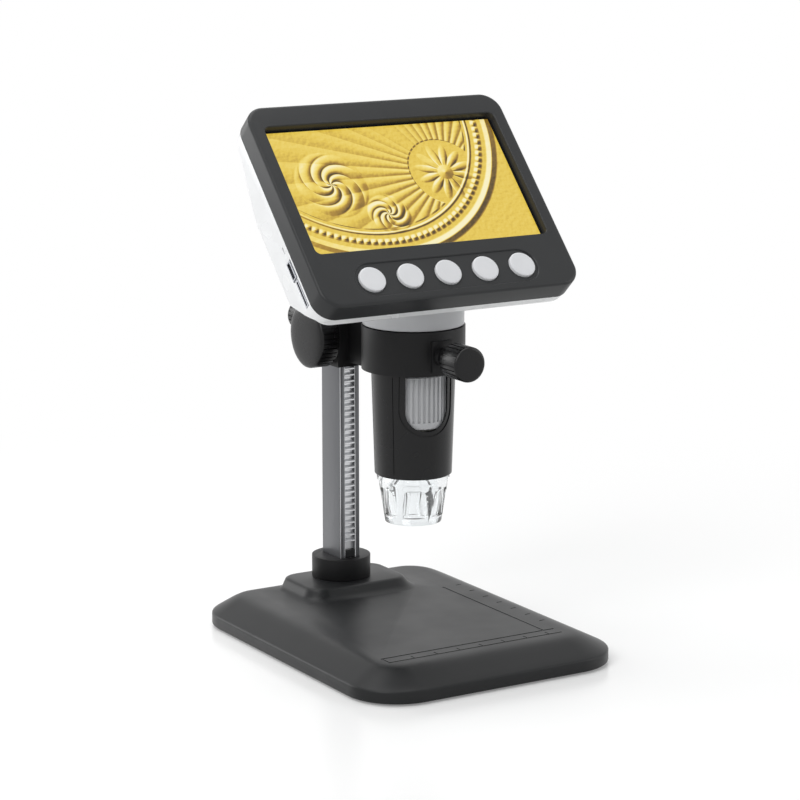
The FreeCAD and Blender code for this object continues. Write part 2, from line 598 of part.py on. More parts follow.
# Barrel: a tapered tube with a window for the focus wheel, clamped in the ring.
tube = fuse(
    "barrel_solid",
    cone("barrel_taper", "barrel_foot_radius", "barrel_top_radius", "ring_bottom - barrel_foot", "0",
         "scope_level", "barrel_foot"),
    rod("barrel_sleeve", "barrel_top_radius", "barrel_head - ring_bottom", "0", "scope_level",
        "ring_bottom"))
barrel_bore = rod("barrel_hole", "barrel_bore", "100", "0", "scope_level", "barrel_foot - 1")
wheel_room = rod("wheel_room", "wheel_bore", "100", "0", "scope_level", "window_foot")
window = block("wheel_window", "window_width", "12", "window_head - window_foot", "0", "-12",
               "window_foot")
window_place = doc.addObject("Part::Compound", "window_place")
window_place.Links = [window]
window_place.Placement = Placement(Vector(), Rotation(Vector(0, 0, 1), -size("window_turn")))
seat(window_place, "0", "scope_level", "0")
bind(window_place, **{"Placement.Rotation.Angle": "360 - window_turn"})
nodes["barrel"] = cut("barrel", tube, barrel_bore, wheel_room, window_place)
nodes["focus_wheel"] = cut(
    "focus_wheel",
    rod("wheel_round", "wheel_radius", "wheel_head - wheel_foot", "0", "scope_level", "wheel_foot"),
    rod("wheel_hole", "wheel_inner", "60", "0", "scope_level", "wheel_foot - 1"),
    flutes("wheel_flutes", "wheel_grooves", "(wheel_radius + wheel_groove * 0.3)", "wheel_groove",
           "wheel_head - wheel_foot - 3", "0", "scope_level", "wheel_foot + 2.4"))
nodes["lens_holder"] = cut(
    "lens_holder",
    rod("holder_round", "holder_radius", "holder_head - holder_foot", "0", "scope_level",
        "holder_foot"),
    rod("holder_hole", "holder_bore", "60", "0", "scope_level", "holder_foot - 1"))
nodes["objective_lens"] = rod("objective_lens", "holder_bore", "3", "0", "scope_level",
                              "holder_foot + 1")
nodes["sensor_board"] = cut(
    "sensor_board",
    rod("sensor_disc", "wheel_bore", "board_thick", "0", "scope_level", "window_head + 3"),
    block("sensor_notch", "6", "4", "board_thick", "0", "scope_level + wheel_bore", "window_head + 3"))
nodes["image_sensor"] = block("image_sensor", "9", "8", "1.4", "0", "scope_level",
                              "window_head + 3 - 1.4")
led_level = "barrel_foot + cap_spigot + 1.6"
nodes["led_board"] = cut(
    "led_board",
    rod("led_disc", "barrel_bore", "1.2", "0", "scope_level", led_level),
    rod("led_hole", "7.5", "1.2", "0", "scope_level", led_level))
leds = []
for step in range(8):
    angle = math.radians(45 * step + 22.5)
    leds.append(block("led", "2.6", "2.6", "0.9", "10.3 * %.6f" % math.cos(angle),
                      "scope_level + 10.3 * %.6f" % math.sin(angle), "%s - 0.9" % led_level))
nodes["leds"] = group("leds", leds)
cap_solid = fuse(
    "cap_solid",
    cone("cap_cone", "cap_foot_radius", "cap_lip_radius - 0.5", "barrel_foot - cap_lip - cap_foot",
         "0", "scope_level", "cap_foot"),
    rod("cap_rim", "cap_lip_radius", "cap_lip", "0", "scope_level", "barrel_foot - cap_lip"),
    rod("cap_plug", "barrel_bore - spigot_fit", "cap_spigot", "0", "scope_level", "barrel_foot"))
cap_hollow = rod("cap_hollow", "cap_bore", "60", "0", "scope_level", "cap_foot - 1")

# Each panel of the cap is a flat cut with an arched top, leaned to the slope of the cone.
cap_slope = "(cap_lip_radius - 0.5 - cap_foot_radius) / (barrel_foot - cap_lip - cap_foot)"
panel_width = "(cap_foot_radius - panel_rib)"
panel_tool = fuse(
    "panel_tool",
    block("panel_low", "4", panel_width, "panel_head - panel_foot - panel_round", "2", "0", "panel_foot"),
    block("panel_high", "4", panel_width + " - 2 * panel_round", "panel_head - panel_foot", "2", "0",
          "panel_foot"),
    *[rod("panel_corner", "panel_round", "4", "0",
          sign + "(%s / 2 - panel_round)" % panel_width, "panel_head - panel_round", "x")
      for sign in ("-", "")])
leaned = doc.addObject("Part::Compound", "panel_leaned")
leaned.Links = [panel_tool]
leaned.Placement = Placement(Vector(), Rotation(Vector(0, 1, 0), 8.9))
bind(leaned, **{"Placement.Rotation.Angle": "atan(%s)" % cap_slope})
seat(leaned, "cap_foot_radius - panel_inset", "0", "cap_foot")
panels = []
for step in range(int(size("cap_panels"))):
    panel = doc.addObject("Part::Compound", "cap_panel")
    panel.Links = [leaned]
    panel.Placement = Placement(Vector(), Rotation(Vector(0, 0, 1), 60.0 * step + 1))
    bind(panel, **{"Placement.Rotation.Angle": "%d * 360 / cap_panels + 1" % step})
    panels.append(seat(panel, "0", "scope_level", "0"))
nodes["clear_cap"] = cut("clear_cap", cap_solid, cap_hollow, *panels)

# Head: screen bezel in front, moulded shell behind, electronics between.
bezel = doc.addObject("PartDesign::Body", "bezel_body")
half_head = ("head_across / 2", "head_across / 2", "head_down", "head_up")
bezel_outline = sketch_on(bezel, "bezel_outline")
rounded_rectangle(bezel_outline, *half_head, "head_corner")
pad(bezel, "bezel_pad", bezel_outline, "bezel_deep", Reversed=True)
bezel_room = sketch_on(bezel, "bezel_room", offset="-bezel_face")
rounded_rectangle(bezel_room, "head_across / 2 - bezel_wall", "head_across / 2 - bezel_wall",
                  "head_down - bezel_wall", "head_up - bezel_wall", "head_corner - bezel_wall")
pocket(bezel, "bezel_hollow", bezel_room, "bezel_deep")
opening = sketch_on(bezel, "opening_outline")
rounded_rectangle(opening, "opening_width / 2", "opening_width / 2", "opening_height / 2",
                  "opening_height / 2", "1.2")
pocket(bezel, "opening_cut", opening, "bezel_face")
doc.recompute()
pill = fuse(
    "pill",
    block("pill_middle", "pill_width - pill_height", "pill_height", "pill_deep", "0", "button_row",
          "-pill_deep"),
    *[rod("pill_end", "pill_height / 2", "pill_deep", sign + "(pill_width - pill_height) / 2",
          "button_row", "-pill_deep") for sign in ("-", "")])
button_spots = ["%d * button_pitch" % step for step in range(-2, 3)]
button_holes = [rod("button_hole", "button_radius + button_fit", "bezel_face + 2", x, "button_row",
                    "-bezel_face - 1") for x in button_spots]
post_spots = [("-post_across", "-post_row"), ("post_across", "-post_row")]
posts = [rod("bezel_post", "post_radius", "bezel_deep - bezel_face", x, y, "-bezel_deep")
         for x, y in post_spots]
switch_foot = "-bezel_face - button_travel - 3.7"
rails = [block("board_rail", "3", "8", "4.4", x, "button_row + 1.9", switch_foot)
         for x in ("-43.3", "43.3")]
post_holes = [rod("post_hole", "1.1", "5", x, y, "-bezel_deep") for x, y in post_spots]
head_piece("screen_bezel", cut("bezel_cut", fuse("bezel_solid", bezel, *posts, *rails), pill,
                               *button_holes, *post_holes))
for step, x in enumerate(button_spots, start=1):
    head_piece("button_%d" % step, fuse(
        "button_solid_%d" % step,
        rod("button_cap_%d" % step, "button_radius", "button_proud + bezel_face + 0.3", x,
            "button_row", "-bezel_face - 0.3"),
        rod("button_flange_%d" % step, "button_radius + 1", "0.8", x, "button_row",
            "-bezel_face - 1.1"),
        rod("button_stem_%d" % step, "1.8", "0.6", x, "button_row", "-bezel_face - 1.7")))
head_piece("button_board", block("button_card", "2 * spacer_across + 1", "8", "1.2", "0",
                                 "button_row + 1.9", switch_foot + " - 1.2"))
head_piece("button_switches", group("switch_set", [
    block("switch", "5", "5", "1.7", x, "button_row", switch_foot) for x in button_spots]))
head_piece("screen_glass", block("glass_sheet", "glass_width", "glass_height", "glass_thick", "0", "0",
                                 "-bezel_face - glass_thick"))
panel_back = "(bezel_face + glass_thick + panel_thick)"
head_piece("screen_panel", block("panel_box", "glass_width", "glass_height", "panel_thick", "0", "0",
                                 "-" + panel_back))
spacer_spots = [(sign + "spacer_across", y) for sign in ("-", "")
                for y in ("-board_drop - 18", "-board_drop + 30")]
head_piece("board_spacers", group("spacer_set", [
    rod("spacer", "spacer_radius", "spacer_tall", x, y, "-%s - spacer_tall" % panel_back)
    for x, y in spacer_spots]))
board_back = "(bezel_face + glass_thick + panel_thick + spacer_tall + board_thick)"
head_piece("main_board", block("board_sheet", "board_width", "board_height", "board_thick", "0",
                               "-board_drop",
                               "-" + board_back))
head_piece("battery", block("battery_cell", "battery_width", "battery_height", "battery_thick", "12",
                            "-board_drop - 4", "-%s - battery_thick" % board_back))
head_piece("usb_port", cut(
    "usb_shape",
    block("usb_box", "6.5", "7.6", "2.9", "-board_width / 2 - 2.9", "port_row", "-%s - 2.9" % board_back),
    block("usb_mouth", "5", "6.8", "1.9", "-board_width / 2 - 4.5", "port_row", "-%s - 2.4" % board_back)))
head_piece("card_slot", cut(
    "card_shape",
    block("card_box", "13", "11.5", "1.8", "-board_width / 2 + 0.6", "card_row", "-%s - 1.8" % board_back),
    block("card_mouth", "12", "10.5", "0.9", "-board_width / 2 - 0.5", "card_row", "-%s - 1.4" % board_back)))

rear = doc.addObject("PartDesign::Body", "rear_body")
rear_profile = sketch_on(rear, "rear_profile", "YZ_Plane")
outline(rear_profile, [
    ("head_up - 0.5", "-bezel_deep"), ("head_up - 1.5", "-(bezel_deep + back_edge)"),
    ("head_up - 8", "-(bezel_deep + back_slope)"), ("back_crest", "-shell_deep"),
    ("-back_foot", "-shell_deep"), ("-chin_row", "-(bezel_deep + chin_deep)"),
    ("-(head_down - 1.2)", "-(bezel_deep + back_edge + 0.3)"), ("-(head_down - 0.5)", "-bezel_deep")])
pad(rear, "rear_pad", rear_profile, "head_across - 1", Midplane=True)
doc.recompute()

# The rear shell follows the round corners of the bezel and is hollow, with cuts for the ports.
rear_inner = doc.addObject("PartDesign::Body", "rear_inner_body")
inner_profile = sketch_on(rear_inner, "rear_inner_profile", "YZ_Plane")
outline(inner_profile, [
    ("head_up - 2.5", "-(bezel_deep - 1)"), ("head_up - 3.5", "-(bezel_deep + back_edge - 1.1)"),
    ("head_up - 9", "-(bezel_deep + back_slope - 2.1)"),
    ("back_crest - 0.6", "-(shell_deep - shell_wall)"),
    ("-(back_foot - 0.8)", "-(shell_deep - shell_wall)"),
    ("-(chin_row - 1.4)", "-(bezel_deep + chin_deep - 1.4)"),
    ("-(head_down - 3.2)", "-(bezel_deep + back_edge - 0.8)"),
    ("-(head_down - 2.5)", "-(bezel_deep - 1)")])
pad(rear_inner, "rear_inner_pad", inner_profile, "head_across - 1 - 2 * shell_wall", Midplane=True)
doc.recompute()


def round_corners(name, body, inset, depth):
    """Trim a shell form to the round cornered outline of the bezel, drawn in by an inset."""
    frame = doc.addObject("PartDesign::Body", name + "_frame")
    sketch = sketch_on(frame, name + "_outline")
    sides = ("head_across / 2 - " + inset, "head_across / 2 - " + inset,
             "head_down - " + inset, "head_up - " + inset)
    rounded_rectangle(sketch, *sides, "head_corner - " + inset)
    pad(frame, name + "_pad", sketch, depth, Reversed=True)
    return common(name, body, frame)


rear_outer = round_corners("rear_outer", rear, "0.5", "shell_deep + 1")
rear_hollow = round_corners("rear_hollow", rear_inner, "0.5 - shell_wall", "shell_deep + 1")
screw_bosses = [rod("shell_post", "3.2", "7", x, y, "-bezel_deep - 5.0") for x, y in post_spots]
post_room = common("post_room", group("post_set", screw_bosses), rear_outer)
usb_cut = block("usb_window", "8", "8.4", "3.7", "-board_width / 2 - 4", "port_row", "-%s - 3.3" % board_back)
card_cut = block("card_window", "8", "12.1", "2.4", "-board_width / 2 - 4", "card_row", "-%s - 2.1" % board_back)
mic_cut = block("mic_window", "8", "3.0", "0.9", "-board_width / 2 - 4", "sound_row", "-bezel_deep - 3.6")
cable_cut = rod("cable_window", "9", "60", "0", "scope_level", "barrel_head - 6")
screw_cuts = [rod("shell_hole", "1.3", "20", x, y, "-bezel_deep - 12") for x, y in post_spots]
screw_pits = [rod("shell_pit", "2.4", "20", x, y, "-bezel_deep - 22.4") for x, y in post_spots]
shell_shape = cut("rear_shape", fuse("rear_solid", cut("rear_empty", rear_outer, rear_hollow), post_room),
                  usb_cut, card_cut, mic_cut, *screw_cuts, *screw_pits)
outer_form = tilt(group("rear_form", [rear_outer]))
placed_shell = tilt(group("rear_placed", [shell_shape]))
nodes["rear_shell"] = cut("rear_shell", placed_shell, cable_cut)
head_piece("shell_screws", group("screw_set", [
    fuse("shell_screw_%d" % (number + 1),
         rod("shell_screw_shank_%d" % (number + 1), "1.05", "6.4", x, y, "-bezel_deep - 2.4"),
         rod("shell_screw_head_%d" % (number + 1), "2.1", "1.2", x, y, "-bezel_deep - 3.6"))
    for number, (x, y) in enumerate(post_spots)]))
neck_tube = cut(
    "neck_tube",
    rod("neck_round", "neck_radius", "60", "0", "scope_level", "neck_foot"),
    rod("neck_bore", "barrel_top_radius + seat_gap", "61", "0", "scope_level", "neck_foot - 0.5"))
bezel_form = tilt(group("bezel_form", [
    block("bezel_block", "head_across", "head_up + head_down + 40", "80", "0", "-(head_down - head_up) / 2",
          "-bezel_deep")]))
above = tilt(group("above_form", [
    block("above_block", "head_across", "80", "200", "0", "42", "-shell_deep")]))
nodes["neck"] = cut("neck", neck_tube, outer_form, bezel_form, above)

doc.recompute()

problems = []
for thing in doc.Objects:
    if "Invalid" in thing.State or "Error" in thing.State:
        problems.append(thing.Name + " " + str(thing.State))
for name, thing in nodes.items():
    if thing.Shape.isNull() or not thing.Shape.isValid() or thing.Shape.Volume <= 0:
        problems.append(name + " has no sound shape")
if problems:
    raise RuntimeError("; ".join(problems))
for name, thing in nodes.items():
    thing.Shape.exportStep("parts/" + name + ".step")
    box = thing.Shape.BoundBox
    print("%-18s %2d solids  x %7.2f %7.2f  y %7.2f %7.2f  z %7.2f %7.2f  vol %9.1f" % (
        name, len(thing.Shape.Solids), box.XMin, box.XMax, box.YMin, box.YMax, box.ZMin, box.ZMax,
        thing.Shape.Volume))
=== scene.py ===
import math

import bpy
from bpy.props import FloatProperty, IntProperty, PointerProperty, StringProperty
from mathutils import Matrix, Vector


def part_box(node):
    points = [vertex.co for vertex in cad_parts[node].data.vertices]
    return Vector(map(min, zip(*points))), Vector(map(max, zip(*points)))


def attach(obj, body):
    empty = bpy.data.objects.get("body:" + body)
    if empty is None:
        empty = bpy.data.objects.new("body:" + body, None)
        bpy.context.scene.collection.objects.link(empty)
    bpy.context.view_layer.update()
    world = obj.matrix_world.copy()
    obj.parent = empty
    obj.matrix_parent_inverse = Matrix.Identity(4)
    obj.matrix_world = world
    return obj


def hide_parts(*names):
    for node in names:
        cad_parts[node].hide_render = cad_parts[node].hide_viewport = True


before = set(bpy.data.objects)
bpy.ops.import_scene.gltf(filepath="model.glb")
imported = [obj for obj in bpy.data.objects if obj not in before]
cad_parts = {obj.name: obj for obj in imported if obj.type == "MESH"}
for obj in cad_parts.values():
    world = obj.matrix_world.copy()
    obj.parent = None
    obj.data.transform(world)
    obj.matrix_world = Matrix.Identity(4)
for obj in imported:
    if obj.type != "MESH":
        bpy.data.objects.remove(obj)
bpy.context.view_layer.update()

bl_info = {
    "name": "Screen microscope",
    "version": (1, 0, 0),
    "blender": (4, 5, 0),
    "location": "View3D > Sidebar > Microscope",
    "description": "Builds a desk microscope with a tilted screen on a rack and pinion stand",
    "category": "Object",
}

MM = 0.001

# The barrel's axis and the head's own frame, whose Z points out of the screen
LENS_AXIS = Matrix.Translation((0, -5.35 * MM, 0))
HEAD_TILT = math.radians(47)
HEAD_PLACE = Matrix.Translation((0, -1.26 * MM, 181.45 * MM)) @ Matrix.Rotation(HEAD_TILT, 4, "X")

# Sizes in millimetres, the same as those of the solids
HEAD_HALF = 56.3
HEAD_DOWN = 52.6
HEAD_UP = 38.5
HEAD_CORNER = 8.0
FRAME_DEEP = 9.2
FRAME_FACE = 3.2
FRAME_WALL = 2.2
OPENING_HALF = (50.85, 29.05)
BUTTONS = 5
BUTTON_ROW = -42.3
BUTTON_PITCH = 16.43
BARREL_FOOT = 69.3
BARREL_FOOT_RADIUS = 14.85
BARREL_RADIUS = 16.15
BARREL_HEAD = 134.0
BARREL_BORE = 13.5
RING_FOOT = 110.3
WHEEL_BORE = 14.5
WINDOW_FOOT = 88.0
WINDOW_HEAD = 109.4
STAGE_TOP = 11.4
SCREW_LEVEL = 117.8
CLAMP_FRONT = -31.3
LOCK_BACK = 67.2

# Sizes in millimetres, and turns, that only the scene has
OPENING_CORNER = 2.4
STRIP_HALF = 39.5
STRIP_FOOT = -49.4
STRIP_HEAD = -35.2
STRIP_CORNER = 7.0
STRIP_DEEP = 0.5
WINDOW_TURN = math.radians(-9.5)
WINDOW_HALF = 8.6
WINDOW_CORNER = 8.1
BORDER_HALF = 10.7
BORDER_CORNER = 10.2
BORDER_FOOT = 86.2
BORDER_DEEP = 0.32
SEAM_TURN = math.radians(-61)
RULER_DEEP = 0.15

# Every flute and every rib takes this many sides of its round form
SIDES_PER_FLUTE = 4


# Working with the mesh editor

def start_clean():
    """Leave edit mode and deselect everything."""
    if bpy.context.object and bpy.context.object.mode != "OBJECT":
        bpy.ops.object.mode_set(mode="OBJECT")
    bpy.ops.object.select_all(action="DESELECT")


def pick(obj):
    """Make one object the only selected and active one."""
    start_clean()
    obj.select_set(True)
    bpy.context.view_layer.objects.active = obj


def edit(obj, kind="VERT"):
    """Open an object in edit mode, picking points, edges or faces."""
    pick(obj)
    bpy.ops.object.mode_set(mode="EDIT")
    bpy.ops.mesh.select_mode(type=kind)


def select(obj, faces=None, edges=None, points=None):
    """Select faces, edges or points in edit mode by a test of each one."""
    kind = "FACE" if faces else "EDGE" if edges else "VERT"
    bpy.ops.mesh.select_mode(type=kind)
    bpy.ops.mesh.select_all(action="DESELECT")
    bpy.ops.object.mode_set(mode="OBJECT")
    mesh = obj.data
    if faces:
        for face in mesh.polygons:
            face.select = bool(faces(face))
    elif edges:
        for edge in mesh.edges:
            ends = [mesh.vertices[i].co for i in edge.vertices]
            edge.select = bool(edges(*ends))
    else:
        for point in mesh.vertices:
            point.select = bool(points(point.co))
    bpy.ops.object.mode_set(mode="EDIT")


def named(name):
    """Name the object that was just made."""
    obj = bpy.context.object
    obj.name = name
    obj.data.name = name
    return obj


def bevel(obj, width, steps=2, angle=30):
    """Round every edge sharper than an angle."""
    pick(obj)
    rounding = obj.modifiers.new("round", "BEVEL")
    rounding.width = width
    rounding.segments = steps
    rounding.limit_method = "ANGLE"
    rounding.angle_limit = math.radians(angle)
    rounding.use_clamp_overlap = True
    rounding.miter_outer = "MITER_ARC"
    bpy.ops.object.modifier_apply(modifier="round")
    return obj


def joined(pieces):
    """Join pieces into the first of them."""
    pick(pieces[0])
    for piece in pieces[1:]:
        piece.select_set(True)
    bpy.ops.object.join()
    return pieces[0]


def carve(obj, cutter, operation="DIFFERENCE"):
    """Cut one piece with another, or join them, and drop the tool."""
    pick(obj)
    tool = obj.modifiers.new("carve", "BOOLEAN")
    tool.operation = operation
    tool.object = cutter
    tool.solver = "EXACT"
    tool.use_self = True
    bpy.ops.object.modifier_apply(modifier="carve")
    bpy.data.objects.remove(cutter, do_unlink=True)
    return obj


def place(obj, matrix):
    """Carry a finished piece to its place and leave its object at the origin."""
    pick(obj)
    obj.matrix_world = matrix @ obj.matrix_world
    bpy.ops.object.transform_apply(location=True, rotation=True, scale=True)
    return obj


def dress(obj, body, material, *nodes, angle=35):
    """Shade a piece, give it its material and say what it rides on and stands for."""
    pick(obj)
    bpy.ops.object.transform_apply(location=True, rotation=True, scale=True)
    bpy.ops.object.shade_smooth_by_angle(angle=math.radians(angle))
    obj.data.materials.clear()
    obj.data.materials.append(material)
    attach(obj, body)
    if nodes:
        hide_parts(*nodes)
    return obj


def twin_of(obj, name):
    """A copy of a piece with a mesh of its own."""
    twin = obj.copy()
    twin.data = obj.data.copy()
    twin.name = name
    bpy.context.collection.objects.link(twin)
    return twin


def node_copy(node, name):
    """A separate copy of a CAD node, merged so that it can be rounded."""
    twin = twin_of(bpy.data.objects[node], name)
    twin.parent = None
    edit(twin)
    bpy.ops.mesh.select_all(action="SELECT")
    bpy.ops.mesh.remove_doubles(threshold=2e-6)
    bpy.ops.mesh.dissolve_limited(angle_limit=math.radians(0.6))
    bpy.ops.object.mode_set(mode="OBJECT")
    return twin


def box(name, low, high):
    """A box between two corners, in metres."""
    start_clean()
    middle = [(a + b) / 2 for a, b in zip(low, high)]
    bpy.ops.mesh.primitive_cube_add(size=1, location=middle)
    obj = named(name)
    obj.scale = [b - a for a, b in zip(low, high)]
    bpy.ops.object.transform_apply(location=True, rotation=True, scale=True)
    return obj


def turned(name, rings, sides=96, closed=True):
    """Turn a profile of (radius, height) rings in mm about Z. The rings run from the foot up the
    outside. A closed profile comes back down the inside, and an open one gets flat ends."""
    start_clean()
    rings = [(radius * MM, height * MM) for radius, height in rings]
    radius, height = rings[0]
    bpy.ops.mesh.primitive_circle_add(vertices=sides, radius=radius, location=(0, 0, height))
    obj = named(name)
    bpy.ops.object.transform_apply(location=True, rotation=True, scale=True)
    edit(obj, "EDGE")
    bpy.ops.mesh.select_all(action="SELECT")
    for next_radius, next_height in rings[1:]:
        bpy.ops.mesh.extrude_edges_move(
            TRANSFORM_OT_translate={"value": (0, 0, next_height - height)})
        grow = next_radius / radius
        bpy.ops.transform.resize(value=(grow, grow, 1), center_override=(0, 0, next_height))
        radius, height = next_radius, next_height
    if closed:
        bpy.ops.mesh.select_non_manifold(extend=False, use_wire=False, use_multi_face=False,
                                         use_non_contiguous=False, use_verts=False)
        bpy.ops.mesh.bridge_edge_loops()
    else:
        for edge_radius, edge_height in (rings[0], rings[-1]):
            select(obj, edges=lambda a, b: abs(a.z - edge_height) < 1e-6
                   and abs(b.z - edge_height) < 1e-6
                   and abs(a.xy.length - edge_radius) < 1e-6
                   and abs(b.xy.length - edge_radius) < 1e-6)
            bpy.ops.mesh.edge_face_add()
    bpy.ops.mesh.select_all(action="SELECT")
    bpy.ops.mesh.normals_make_consistent(inside=False)
    bpy.ops.object.mode_set(mode="OBJECT")
    return obj


def rounded_slab(name, left, right, front, back, radius, foot, steps=10):
    """A flat sheet with round corners, ready to be raised in edit mode."""
    start_clean()
    middle = ((left + right) / 2, (front + back) / 2, foot)
    bpy.ops.mesh.primitive_plane_add(size=1, location=middle)
    obj = named(name)
    obj.scale = (right - left, back - front, 1)
    bpy.ops.object.transform_apply(location=True, rotation=True, scale=True)
    edit(obj)
    bpy.ops.mesh.select_all(action="SELECT")
    bpy.ops.mesh.bevel(offset=radius, segments=steps, affect="VERTICES")
    bpy.ops.object.mode_set(mode="OBJECT")
    return obj


def lofted(name, rings, steps=12):
    """A closed form skinned over round cornered outlines, listed from the lowest up. Each one
    is (left, right, front, back, corner radius, height) in mm."""
    sheets = []
    for left, right, front, back, radius, height in rings:
        sheets.append(rounded_slab(name, left * MM, right * MM, front * MM, back * MM, radius * MM,
                                   height * MM, steps))
    joined(sheets)
    obj = named(name)
    edit(obj, "FACE")
    heights = (rings[0][5] * MM, rings[-1][5] * MM)
    select(obj, faces=lambda face: min(abs(face.center.z - h) for h in heights) > 1e-7)
    bpy.ops.mesh.delete(type="ONLY_FACE")
    for lower, upper in zip(rings, rings[1:]):
        levels = (lower[5] * MM, upper[5] * MM)
        select(obj, edges=lambda a, b: min(abs(a.z - h) + abs(b.z - h) for h in levels) < 1e-7)
        bpy.ops.mesh.bridge_edge_loops()
    bpy.ops.mesh.select_all(action="SELECT")
    bpy.ops.mesh.normals_make_consistent(inside=False)
    bpy.ops.object.mode_set(mode="OBJECT")
    return obj


# Materials

def linear(code):
    """Turn an sRGB hex colour into linear values."""
    values = [int(code[i:i + 2], 16) / 255 for i in (1, 3, 5)]
    values = [v / 12.92 if v <= 0.04045 else ((v + 0.055) / 1.055) ** 2.4 for v in values]
    return tuple(values) + (1.0,)


def add(tree, kind, links=(), **settings):
    """Add one node with its settings, and link inputs from other nodes' outputs."""
    node = tree.nodes.new(kind)
    for key, value in settings.items():
        if key.startswith("in_"):
            slot = key[3:]
            slot = int(slot) if slot.isdigit() else slot.replace("_", " ")
            node.inputs[slot].default_value = value
        else:
            setattr(node, key, value)
    for slot, source in dict(links).items():
        tree.links.new(source, node.inputs[slot])
    return node


def new_material(name):
    """An empty material, its node tree, its output and the place on the object."""
    material = bpy.data.materials.new(name)
    material.use_nodes = True
    tree = material.node_tree
    tree.nodes.clear()
    out = add(tree, "ShaderNodeOutputMaterial")
    where = add(tree, "ShaderNodeTexCoord").outputs["Object"]
    return material, tree, out, where


def moulded(name, colour, roughness, grain=0.25, depth=0.08, spread=0.08, coat=0.0, specular=0.5):
    """Moulded or coated surface: a fine grain in millimetres, with a little uneven gloss."""
    material, tree, out, where = new_material(name)
    grit = add(tree, "ShaderNodeTexNoise", {"Vector": where}, in_Scale=1 / (grain * MM),
               in_Detail=3.0, in_Roughness=0.6)
    cloud = add(tree, "ShaderNodeTexNoise", {"Vector": where}, in_Scale=1 / (18 * MM),
                in_Detail=2.0)
    gloss = add(tree, "ShaderNodeMapRange", {"Value": cloud.outputs["Fac"]},
                in_3=roughness - spread / 2, in_4=roughness + spread)
    tint = add(tree, "ShaderNodeMixRGB", {"Fac": cloud.outputs["Fac"]}, in_Color1=linear(colour),
               in_Color2=tuple(min(1.0, c * 1.12 + 0.001) for c in linear(colour)[:3]) + (1.0,))
    bump = add(tree, "ShaderNodeBump", {"Height": grit.outputs["Fac"]}, in_Strength=depth,
               in_Distance=grain * MM * 0.3)
    shader = add(tree, "ShaderNodeBsdfPrincipled",
                 {"Base Color": tint.outputs["Color"], "Roughness": gloss.outputs["Result"],
                  "Normal": bump.outputs["Normal"]},
                 in_Coat_Weight=coat, in_Coat_Roughness=0.12, in_Specular_IOR_Level=specular)
    tree.links.new(shader.outputs["BSDF"], out.inputs["Surface"])
    return material


def metal(name, colour, roughness, grain=(0.06, 0.06, 3.0), depth=0.15, polish=1.0):
    """Bare or anodised metal with drawn or turned lines. The grain is given per axis in mm."""
    material, tree, out, where = new_material(name)
    stretch = add(tree, "ShaderNodeMapping", {"Vector": where},
                  in_Scale=tuple(1 / (g * MM) for g in grain))
    lines = add(tree, "ShaderNodeTexNoise", {"Vector": stretch.outputs["Vector"]}, in_Scale=1.0,
                in_Detail=2.0)
    gloss = add(tree, "ShaderNodeMapRange", {"Value": lines.outputs["Fac"]}, in_3=roughness - 0.06,
                in_4=roughness + 0.08)
    bump = add(tree, "ShaderNodeBump", {"Height": lines.outputs["Fac"]}, in_Strength=depth,
               in_Distance=0.02 * MM)
    tint = add(tree, "ShaderNodeMixRGB", {"Fac": lines.outputs["Fac"]},
               in_Color1=tuple(c * 0.9 for c in linear(colour)[:3]) + (1.0,),
               in_Color2=linear(colour))
    shader = add(tree, "ShaderNodeBsdfPrincipled",
                 {"Base Color": tint.outputs["Color"], "Roughness": gloss.outputs["Result"],
                  "Normal": bump.outputs["Normal"]}, in_Metallic=polish)
    tree.links.new(shader.outputs["BSDF"], out.inputs["Surface"])
    return material


def clear_plastic(name, colour, roughness):
    """Clear plastic or glass: faint flow marks in a colourless wall."""
    material, tree, out, where = new_material(name)
    flow = add(tree, "ShaderNodeTexNoise", {"Vector": where}, in_Scale=1 / (6 * MM), in_Detail=1.0)
    bump = add(tree, "ShaderNodeBump", {"Height": flow.outputs["Fac"]}, in_Strength=0.06,
               in_Distance=0.2 * MM)
    shader = add(tree, "ShaderNodeBsdfPrincipled", {"Normal": bump.outputs["Normal"]},
                 in_Base_Color=linear(colour), in_Roughness=roughness, in_IOR=1.58,
                 in_Transmission_Weight=1.0)
    tree.links.new(shader.outputs["BSDF"], out.inputs["Surface"])
    return material


